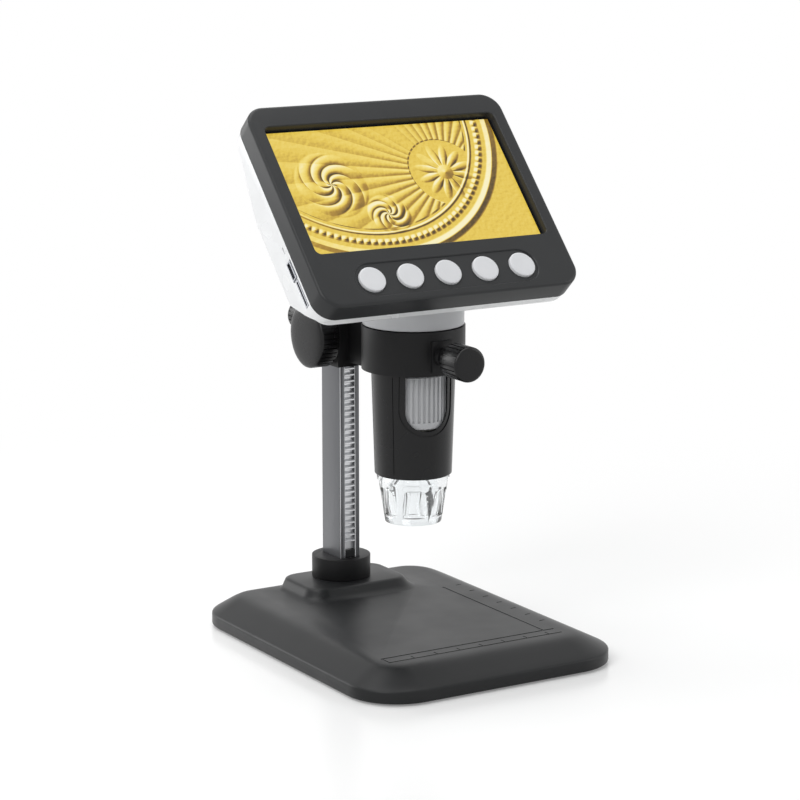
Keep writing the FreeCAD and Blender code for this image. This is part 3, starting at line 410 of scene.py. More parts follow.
def relief_height(name):
    """Height of a made-up gold relief: a beaded rim, a sunburst flower and curled sprays.
    It is read twice, a hair apart, so that the picture shows light on one side."""
    group = bpy.data.node_groups.new(name, "ShaderNodeTree")
    group.interface.new_socket("Place", in_out="INPUT", socket_type="NodeSocketVector")
    group.interface.new_socket("Height", in_out="OUTPUT", socket_type="NodeSocketFloat")
    enter = add(group, "NodeGroupInput").outputs["Place"]
    leave = add(group, "NodeGroupOutput")

    def calc(kind, *values):
        node = group.nodes.new("ShaderNodeMath")
        node.operation = kind
        for slot, value in enumerate(values):
            if isinstance(value, (int, float)):
                node.inputs[slot].default_value = value
            else:
                group.links.new(value, node.inputs[slot])
        return node.outputs[0]

    def polar(centre_x, centre_y):
        """Distance and direction from a point of the picture, in mm and radians."""
        split = add(group, "ShaderNodeSeparateXYZ", {"Vector": enter}).outputs
        x = calc("SUBTRACT", split["X"], centre_x)
        y = calc("SUBTRACT", split["Y"], centre_y)
        square = calc("ADD", calc("MULTIPLY", x, x), calc("MULTIPLY", y, y))
        return calc("SQRT", square), calc("ARCTAN2", y, x)

    def band(radius, middle, width):
        """A ridge along a circle."""
        far = calc("ABSOLUTE", calc("SUBTRACT", radius, middle))
        return calc("SMOOTH_MAX", calc("SUBTRACT", 1.0, calc("DIVIDE", far, width)), 0.0, 0.1)

    def wave(angle, count):
        """Ridges around a centre, two for each count."""
        return calc("ABSOLUTE", calc("SINE", calc("MULTIPLY", angle, count)))

    def hill(radius, reach):
        """A cone that is 1 in the middle and 0 from its reach outwards."""
        return calc("MAXIMUM", calc("SUBTRACT", 1.0, calc("DIVIDE", radius, reach)), 0.0)

    radius, angle = polar(-16.0, 34.0)
    rim = band(radius, 64.0, 2.2)
    beads = calc("MULTIPLY", band(radius, 58.4, 1.5), wave(angle, 62.0))
    inner_rim = band(radius, 54.5, 0.7)
    flower_radius, flower_angle = polar(20.0, 5.0)
    reach = calc("ADD", 6.0, calc("MULTIPLY", wave(flower_angle, 6.0), 7.0))
    flower = calc("SMOOTH_MIN", hill(flower_radius, reach), 0.55, 0.1)
    heart = hill(flower_radius, 3.4)
    ray_mask = calc("MULTIPLY", calc("GREATER_THAN", flower_radius, 15.5),
                    calc("LESS_THAN", radius, 52.5))
    rays = calc("MULTIPLY", wave(flower_angle, 21.0), ray_mask)
    grain = add(group, "ShaderNodeTexNoise", {"Vector": enter}, in_Scale=0.55, in_Detail=3.0)
    parts = [(rim, 1.0), (beads, 0.8), (inner_rim, 0.5), (flower, 1.4), (heart, 1.0), (rays, 0.28),
             (grain.outputs["Fac"], 0.14)]
    for centre_x, centre_y, size, twist in ((-31.0, 3.0, 15.0, 9.0), (-12.0, -12.0, 9.0, -8.0)):
        leaf_radius, leaf_angle = polar(centre_x, centre_y)
        curl = calc("ADD", calc("MULTIPLY", leaf_angle, 3.0),
                    calc("DIVIDE", calc("MULTIPLY", leaf_radius, twist), size))
        vein = calc("POWER", wave(curl, 1.0), 0.6)
        cubed = calc("POWER", calc("DIVIDE", leaf_radius, size), 3.0)
        fade = calc("MAXIMUM", calc("SUBTRACT", 1.0, cubed), 0.0)
        parts.append((calc("MULTIPLY", vein, fade), 1.0))
    total = 0.0
    for part, weight in parts:
        total = calc("ADD", total, calc("MULTIPLY", part, weight))
    group.links.new(total, leave.inputs["Height"])
    return group


def lit_screen(name, pale, gold, brown, glow):
    """Lit screen under its glossy cover, with a made-up gold relief as its picture."""
    material, tree, out, where = new_material(name)
    flat = HEAD_PLACE.inverted()
    turn = flat.to_euler()
    spot = flat.to_translation() / MM
    sheet = add(tree, "ShaderNodeMapping", {"Vector": where}, in_Rotation=turn, in_Location=spot,
                in_Scale=(1 / MM, 1 / MM, 1 / MM))
    sheet.vector_type = "POINT"
    height = relief_height(name + "_relief")
    here = add(tree, "ShaderNodeGroup", node_tree=height)
    tree.links.new(sheet.outputs["Vector"], here.inputs["Place"])
    nudge = add(tree, "ShaderNodeVectorMath", {0: sheet.outputs["Vector"]}, operation="ADD")
    nudge.inputs[1].default_value = (-0.45, 0.55, 0)
    there = add(tree, "ShaderNodeGroup", node_tree=height)
    tree.links.new(nudge.outputs["Vector"], there.inputs["Place"])
    slope = add(tree, "ShaderNodeMath", {0: here.outputs["Height"], 1: there.outputs["Height"]},
                operation="SUBTRACT")
    shade = add(tree, "ShaderNodeMapRange", {"Value": slope.outputs["Value"]}, in_1=-0.34, in_2=0.3)
    ramp = add(tree, "ShaderNodeValToRGB", {"Fac": shade.outputs["Result"]})
    stops = ramp.color_ramp.elements
    stops[0].color = linear(brown)
    stops[1].color = linear("#FFF6C8")
    for spot_at, code in ((0.34, "#B0882A"), (0.52, gold), (0.72, pale)):
        stops.new(spot_at).color = linear(code)
    shader = add(tree, "ShaderNodeBsdfPrincipled", {"Emission Color": ramp.outputs["Color"]},
                 in_Base_Color=(0.01, 0.01, 0.01, 1), in_Roughness=0.16, in_Coat_Weight=0.15,
                 in_Coat_Roughness=0.04, in_Specular_IOR_Level=0.25, in_Emission_Strength=glow)
    tree.links.new(shader.outputs["BSDF"], out.inputs["Surface"])
    return material


def finishes():
    """All finishes of the object, made once and then looked up by name."""
    if "ABS moulded black" in bpy.data.materials:
        return bpy.data.materials
    look = bpy.context.scene.microscope_look
    # ABS, spark textured in the mould: a soft black that greys where it faces the light
    moulded("ABS moulded black", look.base_colour, 0.34, grain=0.35, depth=0.10, spread=0.10,
            specular=0.24)
    # ABS, polished mould: the darker, glossier black of the barrel, the knobs and the cover glass
    moulded("ABS gloss black", look.barrel_colour, 0.25, grain=0.3, depth=0.05, spread=0.08,
            specular=0.26)
    # ABS, satin, dark grey: the screen frame, with a silky gloss
    moulded("ABS satin dark grey", look.bezel_colour, 0.33, grain=0.25, depth=0.06, spread=0.07,
            specular=0.25)
    # Zinc casting, powder coated: slightly pebbled black
    moulded("Powder coat black", look.casting_colour, 0.4, grain=0.6, depth=0.16, spread=0.1,
            specular=0.2)
    # ABS, gloss white: the back of the head
    moulded("ABS gloss white", look.shell_colour, 0.24, grain=0.4, depth=0.03, coat=0.2)
    # ABS, painted a satin silver: the buttons
    moulded("ABS satin silver", "#E2E3E5", 0.30, grain=0.3, depth=0.04)
    # The head's white plastic given a light grey as painted shade: the neck below the head
    moulded("Painted shade grey for the neck", look.neck_painted_shade_colour, 0.34, grain=0.4, depth=0.05)
    # ABS, metallic grey paint: the ribbed focus wheel
    moulded("Silver painted ABS", "#B9BABC", 0.3, grain=0.2, depth=0.05)
    # Rubber, moulded: dull and dark
    moulded("Moulded rubber", "#161616", 0.85, grain=0.4, depth=0.3)
    # Nylon, moulded: the pads, bushes and lens holder inside
    moulded("Moulded nylon", "#D9D7CC", 0.5)
    # Epoxy, moulded: the housings of switches and chips, and the back of the panel
    moulded("Black moulding compound", "#222426", 0.5)
    # Glass fibre board under green lacquer
    moulded("Circuit board lacquer", "#1F5A33", 0.35, grain=1.2, depth=0.2)
    # Aluminium foil, folded round the battery's cell
    moulded("Foil wrapped cell", "#9BA0A6", 0.35, grain=2.0, depth=0.3)
    # Silicone, cast over the light diodes
    moulded("Light diode lens", "#F3E7A8", 0.2)
    # Aluminium, drawn and anodised: grey with fine lines along the bar
    metal("Anodised aluminium", look.column_colour, 0.36, grain=(0.12, 0.12, 14.0), polish=0.55)
    # Aluminium, bright: the rack's own finish, and a painted highlight on the column's rounded
    # corners
    metal("Bright aluminium and painted edge highlight", "#F0F1F3", 0.3, grain=(0.2, 0.2, 6.0), polish=0.6)
    # Steel, zinc plated: screws, studs, the spindle, the sockets and the ballast
    metal("Zinc plated steel", "#C9CBD0", 0.28, grain=(0.3, 0.3, 0.3), depth=0.08)
    # Brass, turned: the pinion, the screw tips and the spacers
    metal("Turned brass", "#C9A65A", 0.25, grain=(0.1, 0.1, 0.1), depth=0.08)
    # Polycarbonate, moulded clear: the cap around the light
    clear_plastic("Clear polycarbonate", "#F7F9FA", 0.05)
    # Glass, ground and polished: the lens
    clear_plastic("Ground glass", "#F4FAFF", 0.01)
    # Liquid crystal panel, lit from behind under a polished cover
    lit_screen("Lit screen", "#F9E27A", "#E9C94E", "#4E3A10", look.screen_glow)
    return bpy.data.materials


NODE_FINISHES = {
    "ABS moulded black": ("base_shell", "floor_plate", "column_cap", "rack_stop", "focus_knob_left",
                          "focus_knob_right", "lock_knob", "clamp_knob"),
    "ABS gloss black": ("barrel", "screen_glass"),
    "ABS satin dark grey": ("screen_bezel",),
    "Powder coat black": ("carriage", "carriage_back", "column_collar"),
    "ABS gloss white": ("rear_shell",),
    "ABS satin silver": ("button_1", "button_2", "button_3", "button_4", "button_5"),
    # the neck's light grey is painted shade on the head's white plastic
    "Painted shade grey for the neck": ("neck",),
    "Zinc plated steel": ("ballast_plate", "floor_screws", "column_bolt", "spindle",
                          "carriage_screws", "lock_stud", "clamp_stud", "shell_screws", "usb_port",
                          "card_slot"),
    "Bright aluminium and painted edge highlight": ("rack",),
    "Anodised aluminium": ("column",),
    "Silver painted ABS": ("focus_wheel",),
    "Turned brass": ("pinion", "lock_tip", "clamp_tip", "board_spacers"),
    "Moulded rubber": ("base_pad",),
    "Moulded nylon": ("slide_pads", "spindle_bushes", "lens_holder"),
    "Ground glass": ("objective_lens",),
    "Clear polycarbonate": ("clear_cap",),
    "Circuit board lacquer": ("main_board", "button_board", "sensor_board", "led_board"),
    "Black moulding compound": ("button_switches", "image_sensor", "screen_panel"),
    "Light diode lens": ("leds",),
    "Foil wrapped cell": ("battery",),
}


# Sizes and colours a user would change

class MicroscopeSizes(bpy.types.PropertyGroup):
    """Sizes and counts of the dressed pieces"""
    base_width: FloatProperty(name="Base width", description="Width of the base cover",
                              default=0.112, unit="LENGTH", subtype="DISTANCE")
    base_depth: FloatProperty(name="Base depth", description="Depth of the base cover",
                              default=0.1435, unit="LENGTH", subtype="DISTANCE")
    base_corner: FloatProperty(name="Base corner", description="Corner radius of the base cover",
                               default=0.021, unit="LENGTH", subtype="DISTANCE")
    knob_flutes: IntProperty(name="Focus knob flutes", description="Grooves around each focus knob",
                             default=40, min=12, max=80)
    thumb_flutes: IntProperty(name="Thumb screw flutes",
                              description="Grooves around each thumb screw",
                              default=24, min=8, max=60)
    wheel_ribs: IntProperty(name="Wheel ribs", description="Ribs around the barrel focus wheel",
                            default=44, min=16, max=90)


class MicroscopeLook(bpy.types.PropertyGroup):
    """Colours of the pieces and the strength of the screen"""
    base_colour: StringProperty(name="Base", description="Colour of the base cover",
                                default="#1B1C1D")
    barrel_colour: StringProperty(name="Barrel", description="Colour of the barrel",
                                  default="#141415")
    bezel_colour: StringProperty(name="Bezel", description="Colour of the screen frame",
                                 default="#2E2F30")
    casting_colour: StringProperty(name="Carriage", description="Colour of the carriage and ring",
                                   default="#121213")
    shell_colour: StringProperty(name="Rear shell", description="Colour of the back of the head",
                                 default="#F1F2F3")
    # the neck's light grey is painted shade on the head's white plastic
    neck_painted_shade_colour: StringProperty(name="Neck", description="Colour of the neck", default="#BDBEC0")
    column_colour: StringProperty(name="Column", description="Colour of the column",
                                  default="#6A6B6E")
    screen_glow: FloatProperty(name="Screen glow", description="Strength of the lit picture",
                               default=0.92, min=0.0, max=3.0)


# Pieces

class MICROSCOPE_OT_finishes(bpy.types.Operator):
    """Give every CAD node its finish"""
    bl_idname = "microscope.finishes"
    bl_label = "Finishes"

    def execute(self, context):
        made = finishes()
        for finish, nodes in NODE_FINISHES.items():
            for node in nodes:
                obj = bpy.data.objects[node]
                obj.data.materials.clear()
                obj.data.materials.append(made[finish])
        return {"FINISHED"}


class MICROSCOPE_OT_base(bpy.types.Operator):
    """Base cover: a flat stage with soft sloped sides and a raised foot for the column"""
    bl_idname = "microscope.base"
    bl_label = "Base"

    def ruler(self):
        """The engraved ruler: a band along the front, a line up the side and two rows of marks."""
        marks = [((-39.5, -47.3), (37.6, -46.5)), ((-39.5, -52.6), (37.6, -51.9)),
                 ((-39.5, -52.6), (-38.8, -46.5)), ((32.4, -46.6), (33.2, 25.0))]
        pitch = 10
        wide = 0.55
        for step in range(7):
            x = pitch * step - 28.3
            y = pitch * step - 35.4
            marks.append(((x, -51.8), (x + wide, -49.4)))
            marks.append(((39.0, y), (41.4, y + wide)))
        foot = (STAGE_TOP - RULER_DEEP) * MM
        head = 13 * MM
        return joined([box("ruler_line", (left * MM, front * MM, foot), (right * MM, back * MM, head))
                       for (left, front), (right, back) in marks])

    def execute(self, context):
        sizes = context.scene.microscope_sizes
        half_x = sizes.base_width / 2 / MM
        half_y = sizes.base_depth / 2 / MM
        corner = sizes.base_corner / MM

        def base_ring(inward, height):
            return (inward - half_x, half_x - inward, 1.11 * inward - half_y,
                    half_y - 0.76 * inward, corner - 0.957 * inward, height)

        # a rounded rim, the long slope, then a soft crest up to the stage
        cover = lofted("base_cover", [base_ring(*ring) for ring in (
            (0.5, 0.8), (0.12, 1.1), (0.0, 1.5), (0.0, 5.0), (0.1, 5.35), (0.35, 5.65), (0.8, 5.95),
            (2.9, 7.05), (5.6, 8.4), (7.6, 9.4), (9.0, 10.05), (10.2, 10.55), (11.2, 10.9),
            (12.3, 11.15), (13.6, 11.32), (15.2, STAGE_TOP))], steps=14)
        # half width, front, back, corner radius and height of each outline up the column's foot
        foot = lofted("base_foot", [
            (-half, half, front, back, radius, height) for half, front, back, radius, height in (
                (27.0, 27.0, 62.6, 9.6, 10.0), (26.4, 27.6, 62.4, 9.3, 11.3),
                (25.4, 28.8, 62.2, 9.0, 11.6), (24.5, 30.2, 62.1, 8.6, 12.1),
                (23.8, 31.3, 62.0, 8.2, 12.8), (23.2, 32.1, 62.0, 7.8, 13.7),
                (22.5, 32.8, 61.9, 7.4, 14.7), (22.1, 33.2, 61.8, 7.0, 15.1),
                (21.6, 33.7, 61.4, 6.7, 15.4), (20.8, 34.5, 60.8, 6.3, 15.6))])
        carve(cover, foot, "UNION")
        hollow = lofted("base_hollow", [base_ring(*ring) for ring in (
            (2.4, 0.2), (2.4, 5.1), (13.6, 9.1))])
        carve(cover, hollow)
        carve(cover, self.ruler())
        dress(cover, "stand", finishes()["ABS moulded black"], "base_shell", angle=28)
        return {"FINISHED"}


def side_number(face, sides):
    """Which side of a many sided form a face lies on, counted around Z."""
    return round(math.atan2(face.center.y, face.center.x) / (2 * math.pi) * sides - 0.5)


def fluted(name, radius, flutes, depth, front_rings, back_rings):
    """A knob along Z with a fluted rim, in mm. The rings shape its front and back faces."""
    sides = flutes * SIDES_PER_FLUTE
    knob = turned(name, back_rings + front_rings, sides=sides, closed=False)
    slack = 1e-6
    low = back_rings[-1][1] * MM - slack
    high = front_rings[0][1] * MM + slack

    def groove(face):
        on_rim = abs(face.normal.z) < 0.3 and face.center.xy.length > radius * MM * 0.9
        between = low < face.center.z < high
        return on_rim and between and side_number(face, sides) % SIDES_PER_FLUTE == 0

    edit(knob, "FACE")
    select(knob, faces=groove)
    bpy.ops.mesh.inset(thickness=0.08 * MM, depth=-depth * MM)
    bpy.ops.object.mode_set(mode="OBJECT")
    return knob


class MICROSCOPE_OT_knobs(bpy.types.Operator):
    """Two fluted focus knobs on the spindle"""
    bl_idname = "microscope.knobs"
    bl_label = "Focus knobs"

    def execute(self, context):
        flutes = context.scene.microscope_sizes.knob_flutes
        radius = 12.8
        out = 14.4 * MM
        back = [(9.0, 0.0), (12.2, 0.0), (12.65, 0.25), (radius, 0.7)]
        front = [(radius, 7.2), (12.6, 7.7), (12.1, 8.1), (11.2, 8.4), (9.4, 8.68), (6.8, 8.88),
                 (3.6, 8.98)]
        low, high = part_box("spindle")
        y = (low[1] + high[1]) / 2
        z = (low[2] + high[2]) / 2
        knob = fluted("focus_knob_right_part", radius, flutes, 0.45, front, back)
        twin = twin_of(knob, "focus_knob_left_part")
        place(knob, Matrix.Translation((out, y, z)) @ Matrix.Rotation(math.pi / 2, 4, "Y"))
        place(twin, Matrix.Translation((-out, y, z)) @ Matrix.Rotation(-math.pi / 2, 4, "Y"))
        dress(knob, "pinion_spindle", finishes()["ABS gloss black"], "focus_knob_right")
        dress(twin, "pinion_spindle", finishes()["ABS gloss black"], "focus_knob_left")
        return {"FINISHED"}


class MICROSCOPE_OT_thumb_screws(bpy.types.Operator):
    """The fluted heads of the clamp and lock screws"""
    bl_idname = "microscope.thumb_screws"
    bl_label = "Thumb screws"

    def execute(self, context):
        flutes = context.scene.microscope_sizes.thumb_flutes
        radius = 6.7
        back = [(2.0, 0.0), (3.4, 0.0), (3.4, 2.6), (4.6, 3.0), (6.2, 3.1), (6.6, 3.4), (radius, 3.8)]
        front = [(radius, 13.3), (6.55, 13.8), (6.1, 14.2), (5.4, 14.3), (3.0, 14.3)]
        knob = fluted("clamp_knob_part", radius, flutes, 0.4, front, back)
        twin = twin_of(knob, "lock_knob_part")
        clamp_place = Matrix.Translation((0, CLAMP_FRONT * MM, SCREW_LEVEL * MM))
        lock_place = Matrix.Translation((0, LOCK_BACK * MM, SCREW_LEVEL * MM))
        place(knob, clamp_place @ Matrix.Rotation(math.pi / 2, 4, "X"))
        place(twin, lock_place @ Matrix.Rotation(-math.pi / 2, 4, "X"))
        dress(knob, "clamp_screw", finishes()["ABS gloss black"], "clamp_knob")
        dress(twin, "lock_screw", finishes()["ABS gloss black"], "lock_knob")
        return {"FINISHED"}


class MICROSCOPE_OT_castings(bpy.types.Operator):
    """Carriage, back plate, collar, column and its cap, with their edges rounded"""
    bl_idname = "microscope.castings"
    bl_label = "Castings"

    def paint_corner_highlights(self, column, finish):
        """Paint a highlight on the rounded corners of the bar with the bright aluminium finish."""
        column.data.materials.append(finish)
        edit(column, "FACE")
        select(column, faces=lambda face: min(abs(face.normal.x), abs(face.normal.y)) > 0.2
               and abs(face.normal.z) < 0.2)
        column.active_material_index = 1
        bpy.ops.object.material_slot_assign()
        bpy.ops.object.mode_set(mode="OBJECT")

    def execute(self, context):
        made = finishes()
        jobs = (("carriage", "carriage_part", 0.6, "Powder coat black", "carriage"),
                ("carriage_back", "carriage_back_part", 0.5, "Powder coat black", "carriage"),
                ("column_collar", "column_collar_part", 0.5, "Powder coat black", "stand"),
                ("column_cap", "column_cap_part", 0.5, "ABS moulded black", "stand"),
                ("column", "column_part", 0.55, "Anodised aluminium", "stand"))
        for node, name, width, finish, body in jobs:
            piece = node_copy(node, name)
            bevel(piece, width * MM, steps=2 if node == "column" else 3)
            dress(piece, body, made[finish], node, angle=40)
            # the bar's rounded corners get the bright finish as a painted highlight
            if node == "column":
                self.paint_corner_highlights(piece, made["Bright aluminium and painted edge highlight"])
        return {"FINISHED"}


def button_places():
    """Where the five buttons stand in the head's own frame."""
    return [Matrix.Translation(((step - (BUTTONS - 1) / 2) * BUTTON_PITCH * MM, BUTTON_ROW * MM, 0))
            for step in range(BUTTONS)]


def head_outline(inward, height):
    """The head's round cornered outline, drawn in by some mm, for lofted."""
    return (inward - HEAD_HALF, HEAD_HALF - inward, inward - HEAD_DOWN, HEAD_UP - inward,
            HEAD_CORNER - inward, height)


class MICROSCOPE_OT_head(bpy.types.Operator):
    """Screen frame, rear shell, neck and the lit screen"""
    bl_idname = "microscope.head"
    bl_label = "Head"

    def screen_frame(self):
        """Deep frame with soft edges, a round cornered opening and a sunk strip for the buttons."""
        def opening(outward, height):
            half_x, half_y = (half + outward for half in OPENING_HALF)
            return (-half_x, half_x, -half_y, half_y, OPENING_CORNER + outward, height)

        def strip(outward, height):
            return (-STRIP_HALF - outward, STRIP_HALF + outward, STRIP_FOOT - outward,
                    STRIP_HEAD + outward, STRIP_CORNER + outward, height)

        piece = lofted("screen_bezel_part", [head_outline(*ring) for ring in (
            (0.3, -FRAME_DEEP), (0.0, 0.3 - FRAME_DEEP), (0.0, -1.25), (0.08, -0.85), (0.28, -0.45),
            (0.6, -0.16), (1.0, -0.03), (1.4, 0.0))])
        carve(piece, lofted("frame_room", [head_outline(FRAME_WALL, -FRAME_DEEP - 0.4),
                                           head_outline(FRAME_WALL, -FRAME_FACE)]))
        carve(piece, lofted("opening", [opening(*ring) for ring in (
            (0.0, -FRAME_FACE - 0.5), (0.0, -0.5), (0.12, -0.22), (0.4, 0.03), (0.6, 0.2))]))
        carve(piece, lofted("button_strip", [strip(*ring) for ring in (
            (0.0, -STRIP_DEEP), (0.05, -0.3), (0.3, -0.06), (0.55, 0.15))]))
        for button_place in button_places():
            hole = turned("button_hole", [(5.5, -5), (5.5, 1)], sides=64, closed=False)
            carve(piece, place(hole, button_place))
        return place(piece, HEAD_PLACE)

    def lower_lip(self, shell):
        """Carry the white shell straight back under the frame before it slopes away."""
        lip = lofted("shell_lip", [head_outline(*ring) for ring in (
            (2.6, -14.2), (1.5, -13.9), (0.9, -13.4), (0.62, -12.6), (0.55, -FRAME_DEEP - 0.02))])
        carve(lip, lofted("lip_room", [head_outline(4.6, -15.0), head_outline(4.6, -9.0)]))
        # only its lower edge stays
        carve(lip, box("lip_top", (-60 * MM, -44 * MM, -20 * MM), (60 * MM, 60 * MM, 0)))
        carve(shell, place(lip, HEAD_PLACE), "UNION")

    def execute(self, context):
        made = finishes()
        dress(self.screen_frame(), "scope", made["ABS satin dark grey"], "screen_bezel", angle=30)
        # the neck's light grey finish is painted shade
        jobs = (("rear_shell", "rear_shell_part", 1.6, "ABS gloss white"),
                ("neck", "neck_part", 0.5, "Painted shade grey for the neck"))
        for node, name, width, finish in jobs:
            piece = node_copy(node, name)
            bevel(piece, width * MM, steps=4, angle=40)
            if node == "rear_shell":
                self.lower_lip(piece)
            dress(piece, "scope", made[finish], node, angle=40)
        # the lit picture is a thin sheet just in front of the glass
        screen = box("lit_screen_part", (-49.7 * MM, -28.1 * MM, -3.19 * MM),
                     (49.6 * MM, 28.1 * MM, -3.12 * MM))
        dress(place(screen, HEAD_PLACE), "scope", made["Lit screen"])
        return {"FINISHED"}


class MICROSCOPE_OT_buttons(bpy.types.Operator):
    """Five push buttons with slightly dished tops, in a row under the screen"""
    bl_idname = "microscope.buttons"
    bl_label = "Buttons"

    def execute(self, context):
        # the stem, the flange that holds it in the head, then the round cap
        first = turned("button_part_1", [
            (1.8, -4.9), (1.8, -4.3), (6.3, -4.3), (6.3, -3.5), (5.3, -3.5), (5.3, 0.2), (5.2, 0.42),
            (4.95, 0.56), (4.6, 0.6), (2.5, 0.52)], sides=64, closed=False)
        pieces = [first] + [twin_of(first, "button_part_%d" % number)
                            for number in range(2, BUTTONS + 1)]
        for number, (piece, button_place) in enumerate(zip(pieces, button_places()), start=1):
            place(piece, HEAD_PLACE @ button_place)
            dress(piece, "button_%d" % number, finishes()["ABS satin silver"],
                  "button_%d" % number, angle=30)
        return {"FINISHED"}


class MICROSCOPE_OT_barrel(bpy.types.Operator):
    """Barrel with its window frame, ribbed focus wheel and clear cap"""
    bl_idname = "microscope.barrel"
    bl_label = "Barrel"

    def window_tool(self, name, half, foot, top, corner):
        """A bar with round lower corners that reaches out through the wheel window."""
        reach = 30 * MM
        bar = rounded_slab(name, -half * MM, half * MM, foot * MM, top * MM + reach, corner * MM, 0)
        edit(bar, "FACE")
        bpy.ops.mesh.select_all(action="SELECT")
        bpy.ops.mesh.bisect(plane_co=(0, top * MM, 0), plane_no=(0, 1, 0), clear_outer=True)
        bpy.ops.mesh.select_all(action="SELECT")
        bpy.ops.mesh.extrude_region_move(TRANSFORM_OT_translate={"value": (0, 0, reach)})
        bpy.ops.mesh.select_all(action="SELECT")
        bpy.ops.mesh.normals_make_consistent(inside=False)
        bpy.ops.object.mode_set(mode="OBJECT")
        aim = LENS_AXIS @ Matrix.Rotation(WINDOW_TURN, 4, "Z")
        return place(bar, aim @ Matrix.Rotation(math.pi / 2, 4, "X"))

    def seam(self):
        """A thin slanted sheet that draws the mould's seam down the left of the tapered tube."""
        sheet = box("seam", (-0.14 * MM, -17 * MM, 71 * MM), (0.14 * MM, -14.6 * MM, 109 * MM))
        edit(sheet)
        select(sheet, points=lambda point: point.z > 80 * MM and point.y > -16 * MM)
        bpy.ops.transform.translate(value=(0, -1.2 * MM, 0))
        bpy.ops.object.mode_set(mode="OBJECT")
        return place(sheet, LENS_AXIS @ Matrix.Rotation(SEAM_TURN, 4, "Z"))

    def tube(self):
        """Tapered tube with a U shaped wheel window, a sunk border around it and a mould seam."""
        taper = (BARREL_RADIUS - BARREL_FOOT_RADIUS) / (RING_FOOT - BARREL_FOOT)

        def wall(height):
            return BARREL_FOOT_RADIUS + (height - BARREL_FOOT) * taper

        tube = turned("barrel_part", [
            (BARREL_BORE, BARREL_FOOT), (BARREL_FOOT_RADIUS - 0.25, BARREL_FOOT),
            (BARREL_FOOT_RADIUS, BARREL_FOOT + 0.3), (wall(80), 80), (wall(96), 96),
            (BARREL_RADIUS, RING_FOOT), (BARREL_RADIUS, BARREL_HEAD - 0.4),
            (BARREL_RADIUS - 0.35, BARREL_HEAD), (WHEEL_BORE, BARREL_HEAD),
            (WHEEL_BORE, WINDOW_FOOT), (BARREL_BORE, WINDOW_FOOT)], sides=160)
        place(tube, LENS_AXIS)
        border = turned("window_border", [
            (wall(84) - BORDER_DEEP, 84), (18, 84), (18, RING_FOOT),
            (wall(RING_FOOT) - BORDER_DEEP, RING_FOOT)], sides=160)
        place(border, LENS_AXIS)
        edge = self.window_tool("border_shape", BORDER_HALF, BORDER_FOOT, 125, BORDER_CORNER)
        carve(border, edge, "INTERSECT")
        carve(tube, border)
        carve(tube, self.window_tool("window_shape", WINDOW_HALF, WINDOW_FOOT, WINDOW_HEAD,
                                     WINDOW_CORNER))
        return carve(tube, self.seam())

    def wheel(self, ribs):
        """Ribbed ring with a plain lower edge."""
        sides = ribs * SIDES_PER_FLUTE
        rib_foot = 91.3
        wheel = turned("focus_wheel_part", [
            (12.2, 88.6), (13.8, 88.6), (14.15, 88.9), (14.15, 91.0), (14.15, rib_foot),
            (14.15, 108.6), (13.8, 109.0), (12.2, 109.0)], sides=sides)

        def rib_gap(face):
            on_rim = abs(face.normal.z) < 0.3 and face.center.xy.length > 13.9 * MM
            above = face.center.z >= rib_foot * MM
            return on_rim and above and side_number(face, sides) % SIDES_PER_FLUTE in (0, 1)

        edit(wheel, "FACE")
        select(wheel, faces=rib_gap)
        bpy.ops.mesh.inset(thickness=0.05 * MM, depth=-0.6 * MM)
        bpy.ops.object.mode_set(mode="OBJECT")
        return place(wheel, LENS_AXIS)

    def execute(self, context):
        made = finishes()
        dress(self.tube(), "scope", made["ABS gloss black"], "barrel", angle=30)
        cap = node_copy("clear_cap", "clear_cap_part")
        bevel(cap, 0.25 * MM, steps=2, angle=25)
        dress(cap, "cap", made["Clear polycarbonate"], "clear_cap", angle=30)
        wheel = self.wheel(context.scene.microscope_sizes.wheel_ribs)
        dress(wheel, "wheel", made["Silver painted ABS"], "focus_wheel", angle=30)
        return {"FINISHED"}


def seen_ray(tree):
    """1 for the rays that show a background: those of the camera, mirrors and clear pieces."""
    path = add(tree, "ShaderNodeLightPath").outputs
    through = add(tree, "ShaderNodeMath", {0: path["Is Camera Ray"], 1: path["Is Transmission Ray"]},
                  operation="MAXIMUM")
    seen = add(tree, "ShaderNodeMath", {0: through.outputs["Value"], 1: path["Is Glossy Ray"]},
               operation="MAXIMUM")
    return seen.outputs["Value"]


